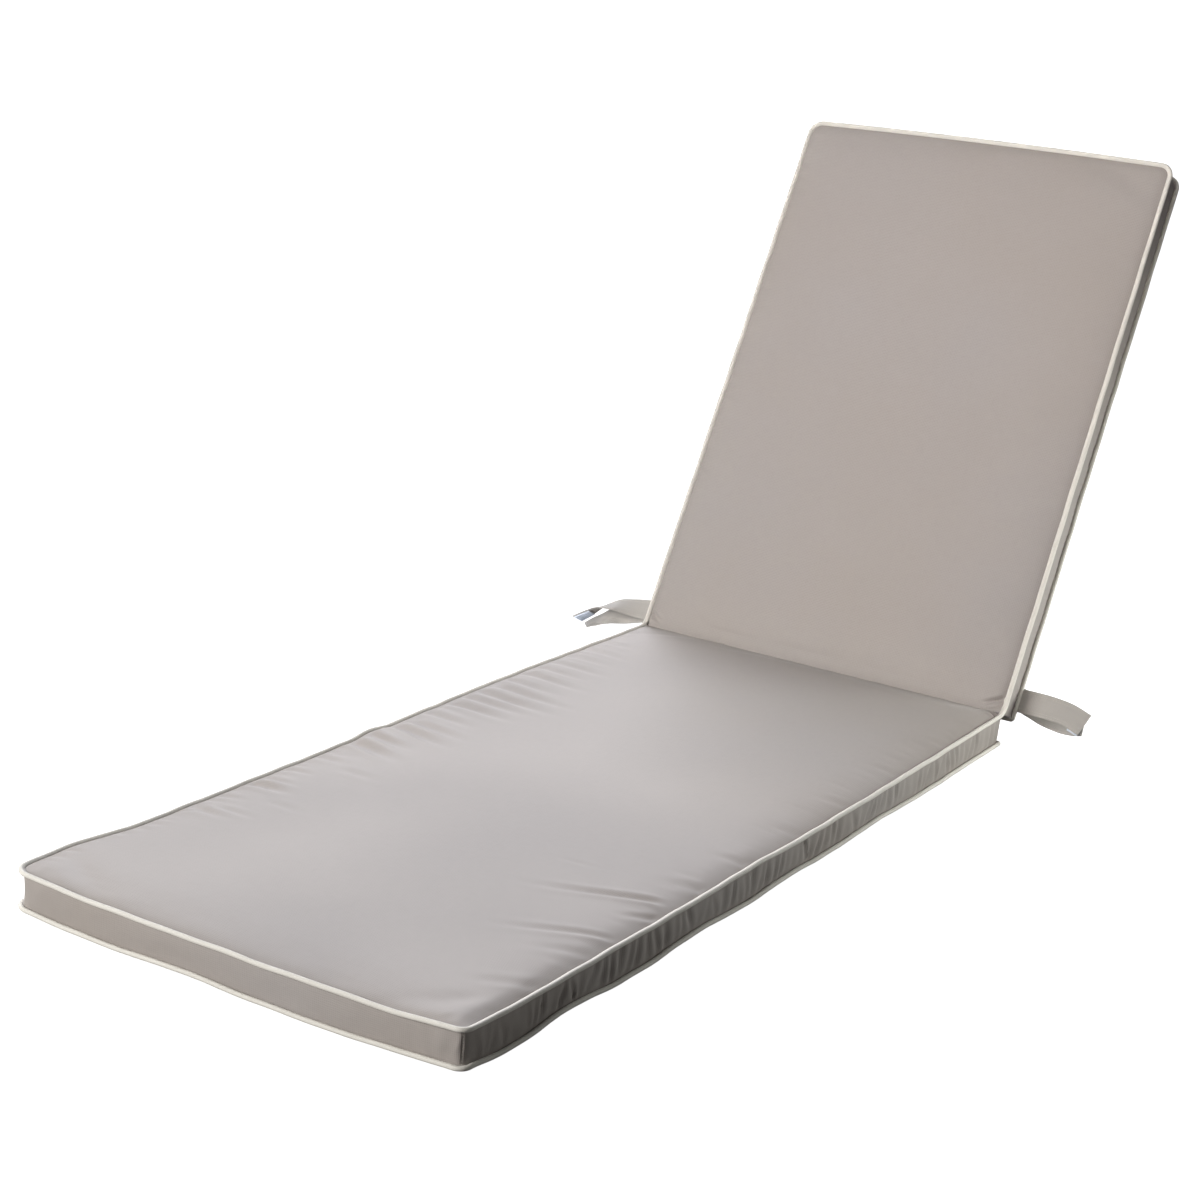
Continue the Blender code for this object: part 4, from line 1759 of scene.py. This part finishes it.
@dataclass
class HookPads:
    """Pads of hook tape sewn near the ends of two straps."""

    straps: Straps
    width: float = 0.026
    thickness: float = 0.0011
    gap: float = 0.0002
    start: float = 0.825
    end: float = 0.985
    drop: float = 0.005
    hook_height: float = 0.0013
    hook_wire: float = 0.00016
    rows: int = 12
    columns: int = 15
    seed: int = 9
    margin: float = 0.004
    share_margin: float = 0.008
    tape_rows: int = 15
    tape_columns: int = 11
    sharp_angle: float = 40

    @property
    def sizes(self) -> dict[str, float | int]:
        """Values of the tree's inputs by name."""
        return {"Height": self.hook_height, "Wire": self.hook_wire, "Seed": self.seed}

    def tree(self, tape: bpy.types.Material) -> bpy.types.NodeTree:
        """Build the tree that stands a small hook on each point of a grid.

        Args:
            tape: Material of the hooks.

        Returns:
            A tree whose inputs are the hooks' height, wire and seed.
        """
        tree, given = new_tree("tape_hooks", self.sizes)
        arc = {
            "Resolution": 5,
            "Start": (0.0, 0.0, 0.0),
            "Middle": (0.1, 0.0, 1.5),
            "End": (0.55, 0.0, 0.75),
        }
        bent = add_node(tree, "GeometryNodeCurveQuadraticBezier", arc)
        high = given["Height"]
        size = add_node(tree, "ShaderNodeCombineXYZ", {}, {"X": high, "Y": high, "Z": high})
        sized = add_node(
            tree, "GeometryNodeTransform", {}, {"Geometry": bent.outputs[0], "Scale": size.outputs[0]}
        )
        ring = add_node(
            tree, "GeometryNodeCurvePrimitiveCircle", {"Resolution": 3}, {"Radius": given["Wire"]}
        )
        hook = add_node(
            tree,
            "GeometryNodeCurveToMesh",
            {"Fill Caps": True},
            {"Curve": sized.outputs[0], "Profile Curve": ring.outputs[0]},
        )
        read = {"data_type": "FLOAT_VECTOR", "Name": NORMAL_ATTRIBUTE}
        normal = add_node(tree, "GeometryNodeInputNamedAttribute", read).outputs["Attribute"]
        turn = add_node(tree, "FunctionNodeAlignRotationToVector", {"axis": "Z"}, {"Vector": normal})
        points, piece = given["Geometry"], hook.outputs[0]
        stand_pieces(tree, points, piece, turn.outputs[0], given["Seed"], (0.85, 1.1), tape)
        return tree

    def point(self, route: Route, share: float, across: float, off: float) -> Vector:
        """World place on a pad, off the rear face of its strap."""
        centre, width, face = self.straps.axes(route, share)
        return centre + width * across - face * (self.straps.hem_thickness / 2 + self.gap + off)

    def build_pad(self, name: str, node: str, shift: float) -> bpy.types.Object:
        """Build one pad's tape.

        Args:
            name: Name of the piece.
            node: Node of the strap that it is sewn on.
            shift: How far it sits off the strap's middle.

        Returns:
            A closed thin tape with rounded edges.
        """
        rows, columns = self.tape_rows, self.tape_columns
        points = []
        for layer in (0.0, self.thickness):
            for i in range(rows):
                share = self.start + (self.end - self.start) * i / (rows - 1)
                for j in range(columns):
                    across = (j / (columns - 1) - 0.5) * self.width + shift
                    points.append(self.point(ROUTES[node], share, across, layer))
        return new_object(name, thin_mesh(name, points, rows, columns, False, self.sharp_angle))

    def build_hooks(self, name: str, node: str, shift: float, tree: bpy.types.NodeTree) -> bpy.types.Object:
        """Stand the hooks on one pad.

        Args:
            name: Name of the piece.
            node: Node of the strap that the pad is sewn on.
            shift: How far the pad sits off the strap's middle.
            tree: The tree that stands the hooks.

        Returns:
            The hooks as one plain mesh.
        """
        route = ROUTES[node]
        places, normals = [], []
        first, last = self.start + self.share_margin, self.end - self.share_margin
        for i in range(self.columns):
            share = first + (last - first) * i / (self.columns - 1)
            face = self.straps.axes(route, share)[2]
            for j in range(self.rows):
                across = (j / (self.rows - 1) - 0.5) * (self.width - self.margin) + shift
                places.append(tuple(self.point(route, share, across, self.thickness)))
                normals.append(tuple(-face))
        return grow(name, places, normals, [], tree, self.sizes)

    def build(self, tape: bpy.types.Material) -> dict[str, list[bpy.types.Object]]:
        """Build both pads with their hooks.

        Args:
            tape: Material of the tape and the hooks.

        Returns:
            The pad and its hooks, by the node of the strap that they are sewn on.
        """
        tree = self.tree(tape)
        made = {}
        pads = ((Side.LEFT, "tie_left_upper", 0.0), (Side.RIGHT, "tie_right_front", -self.drop))
        for side, node, shift in pads:
            label = side.name.lower()
            pad = self.build_pad(f"hook_tape_{label}", node, shift)
            pad.data.materials.append(tape)
            hooks = self.build_hooks(f"hooks_{label}", node, shift, tree)
            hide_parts(f"hook_pad_{label}")
            for piece in (pad, hooks):
                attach(piece, "root")
            made[node] = [pad, hooks]
        return made


@dataclass
class Studio:
    """Plain pale floor, soft lights and the camera."""

    azimuth: float = math.radians(30.92)
    elevation: float = math.radians(15.99)
    roll: float = math.radians(4.46)
    distance: float = 2.718
    target: tuple[float, float, float] = (0.0139, 0.0, 0.2663)
    lens: float = 72.38
    sensor: float = 36.0
    clip_end: float = 400.0
    floor_radius: float = 90.0
    floor_drop: float = 0.0002
    floor_segments: int = 96
    sky: str = "#ffffff"
    sky_light: float = 0.07
    sky_seen: float = 1.0

    def camera(self) -> None:
        """Set the camera up at the photograph's angle."""
        a, e = self.azimuth, self.elevation
        back = Vector((math.sin(a) * math.cos(e), -math.cos(a) * math.cos(e), math.sin(e)))
        level = (-back).cross(Vector((0, 0, 1))).normalized()
        up = level.cross(-back)
        right = level * math.cos(self.roll) + up * math.sin(self.roll)
        top = up * math.cos(self.roll) - level * math.sin(self.roll)
        data = bpy.data.cameras.new("camera")
        data.lens = self.lens
        data.sensor_width = self.sensor
        data.clip_end = self.clip_end
        camera = new_object("camera", data)
        turned = Matrix((right, top, back)).transposed().to_4x4()
        camera.matrix_world = Matrix.Translation(Vector(self.target) + back * self.distance) @ turned
        bpy.context.scene.camera = camera

    def light(
        self, name: str, place: tuple, aim: tuple, size: tuple, power: float, tint: str, spread: float = 180
    ) -> None:
        """Add a soft box.

        Args:
            name: Name of the light.
            place: Where it stands.
            aim: What it points at.
            size: Its width and height.
            power: Its power in watts.
            tint: Its colour.
            spread: Angle of its beam, in degrees.
        """
        data = bpy.data.lights.new(name, "AREA")
        data.spread = math.radians(spread)
        data.shape = "RECTANGLE"
        data.size, data.size_y = size
        data.energy = power
        data.color = linear_colour(tint)[:3]
        box = new_object(name, data)
        box.visible_camera = False
        box.location = place
        box.rotation_euler = (Vector(aim) - Vector(place)).to_track_quat("-Z", "Y").to_euler()

    def sun(self, name: str, toward: tuple, spread: float, power: float, tint: str) -> None:
        """Add a soft light from far away.

        Args:
            name: Name of the light.
            toward: Direction to it.
            spread: Angle that it fills, in degrees.
            power: Its strength.
            tint: Its colour.
        """
        data = bpy.data.lights.new(name, "SUN")
        data.energy = power
        data.angle = math.radians(spread)
        data.color = linear_colour(tint)[:3]
        light = new_object(name, data)
        light.rotation_euler = (-Vector(toward)).to_track_quat("-Z", "Y").to_euler()

    def build(self, paint: bpy.types.Material) -> None:
        """Build the floor, the sky, the lights and the camera.

        Args:
            paint: Material of the floor.
        """
        edit = bmesh.new()
        sides, radius = self.floor_segments, self.floor_radius
        bmesh.ops.create_circle(edit, cap_ends=True, segments=sides, radius=radius)
        bmesh.ops.translate(edit, vec=(0, 0, -self.floor_drop), verts=edit.verts)
        data = bpy.data.meshes.new("studio_floor")
        edit.to_mesh(data)
        edit.free()
        data.materials.append(paint)
        new_object("studio_floor", data)
        world = bpy.data.worlds.new("studio")
        world.use_nodes = True
        tree = world.node_tree
        seen = add_node(tree, "ShaderNodeLightPath").outputs["Is Camera Ray"]
        shares = {"To Min": self.sky_light, "To Max": self.sky_seen}
        strength = add_node(tree, "ShaderNodeMapRange", shares, {"Value": seen})
        sky = tree.nodes["Background"]
        sky.inputs["Color"].default_value = linear_colour(self.sky)
        tree.links.new(strength.outputs[0], sky.inputs["Strength"])
        bpy.context.scene.world = world
        bpy.context.scene.view_settings.view_transform = "Standard"
        self.sun("window_light", (-1.8, 2.5, 2.1), 34.0, 2.62, "#f1f2fa")
        self.light("front_box", (-1.7, -3.5, 1.5), (0.0, 0.1, 0.25), (2.0, 1.4), 149.0, "#fffdfa")
        self.light("left_box", (-1.7, -0.7, 1.1), (-0.1, -0.2, 0.05), (1.2, 0.8), 5.0, "#f5fffe")
        self.light("high_box", (-0.5, -2.4, 2.9), (0.0, 0.9, 0.62), (1.0, 0.8), 2.3, "#fff2ee", 45)
        self.light("back_box", (0.7, -1.5, 2.2), (0.0, 0.97, 0.72), (0.9, 0.5), 2.2, "#fffaf4", 60)
        self.light("low_box", (1.1, 1.0, 0.3), (0.28, 0.5, 0.03), (0.5, 0.3), 3.4, "#f5f7f2", 100)
        self.light("tie_card", (-0.4, 0.58, 0.006), (-0.4, 0.64, 0.018), (0.05, 0.012), 0.03, "#f2f6ff")
        self.camera()


def main() -> None:
    """Build and dress every piece, in order, and report each."""
    logging.basicConfig(level=logging.INFO, format="%(name)s: %(message)s")
    pattern = Pattern()
    canvas = CanvasFinish().make()
    # The straps get a lighter copy of the cover's canvas: painted light that brightens the straps.
    strap_canvas_painted_lighter = CanvasFinish(
        name="folded_canvas_strap_painted_lighter", warm="#b3ada6", cool="#b5b3b0", shade="#97928c", thread_spacing=0.0016
    ).make()
    tape = WeltFinish().make()
    thread = ThreadFinish().make()
    hook_tape = HookTapeFinish().make()
    paint = FloorFinish().make()

    cover_maker = Cover(pattern)
    cover = cover_maker.build()
    cover_maker.dress(cover, canvas)
    LOG.info("cover: %d faces", len(cover.data.polygons))

    welt_maker = Welts(pattern)
    welts = welt_maker.build()
    welt_maker.dress(welts, tape)
    for node, welt in welts.items():
        LOG.info("%s: %d faces", node, len(welt.data.polygons))

    strap_maker = Straps(pattern)
    straps = strap_maker.build()
    sewn = HookPads(strap_maker).build(hook_tape)
    stitch_maker = Stitches()
    stitch_tree = stitch_maker.tree(thread)
    for node in straps:
        name = node.replace("tie", "stitches")
        stitches = stitch_maker.sew(name, strap_maker.stitch_lines(ROUTES[node]), stitch_tree)
        sewn.setdefault(node, []).append(stitches)
    strap_maker.dress(straps, strap_canvas_painted_lighter, sewn)
    for node, strap in straps.items():
        long = strap_maker.length(ROUTES[node]) / MM
        LOG.info("%s: %d faces, %.0f mm long", node, len(strap.data.polygons), long)
    seams = stitch_maker.sew("stitches_cover", CoverSeams(pattern).lines(), stitch_tree)
    LOG.info("cover stitches: %d faces", len(seams.data.polygons))

    Studio().build(paint)
    bpy.context.view_layer.update()


if __name__ == "__main__":
    main()
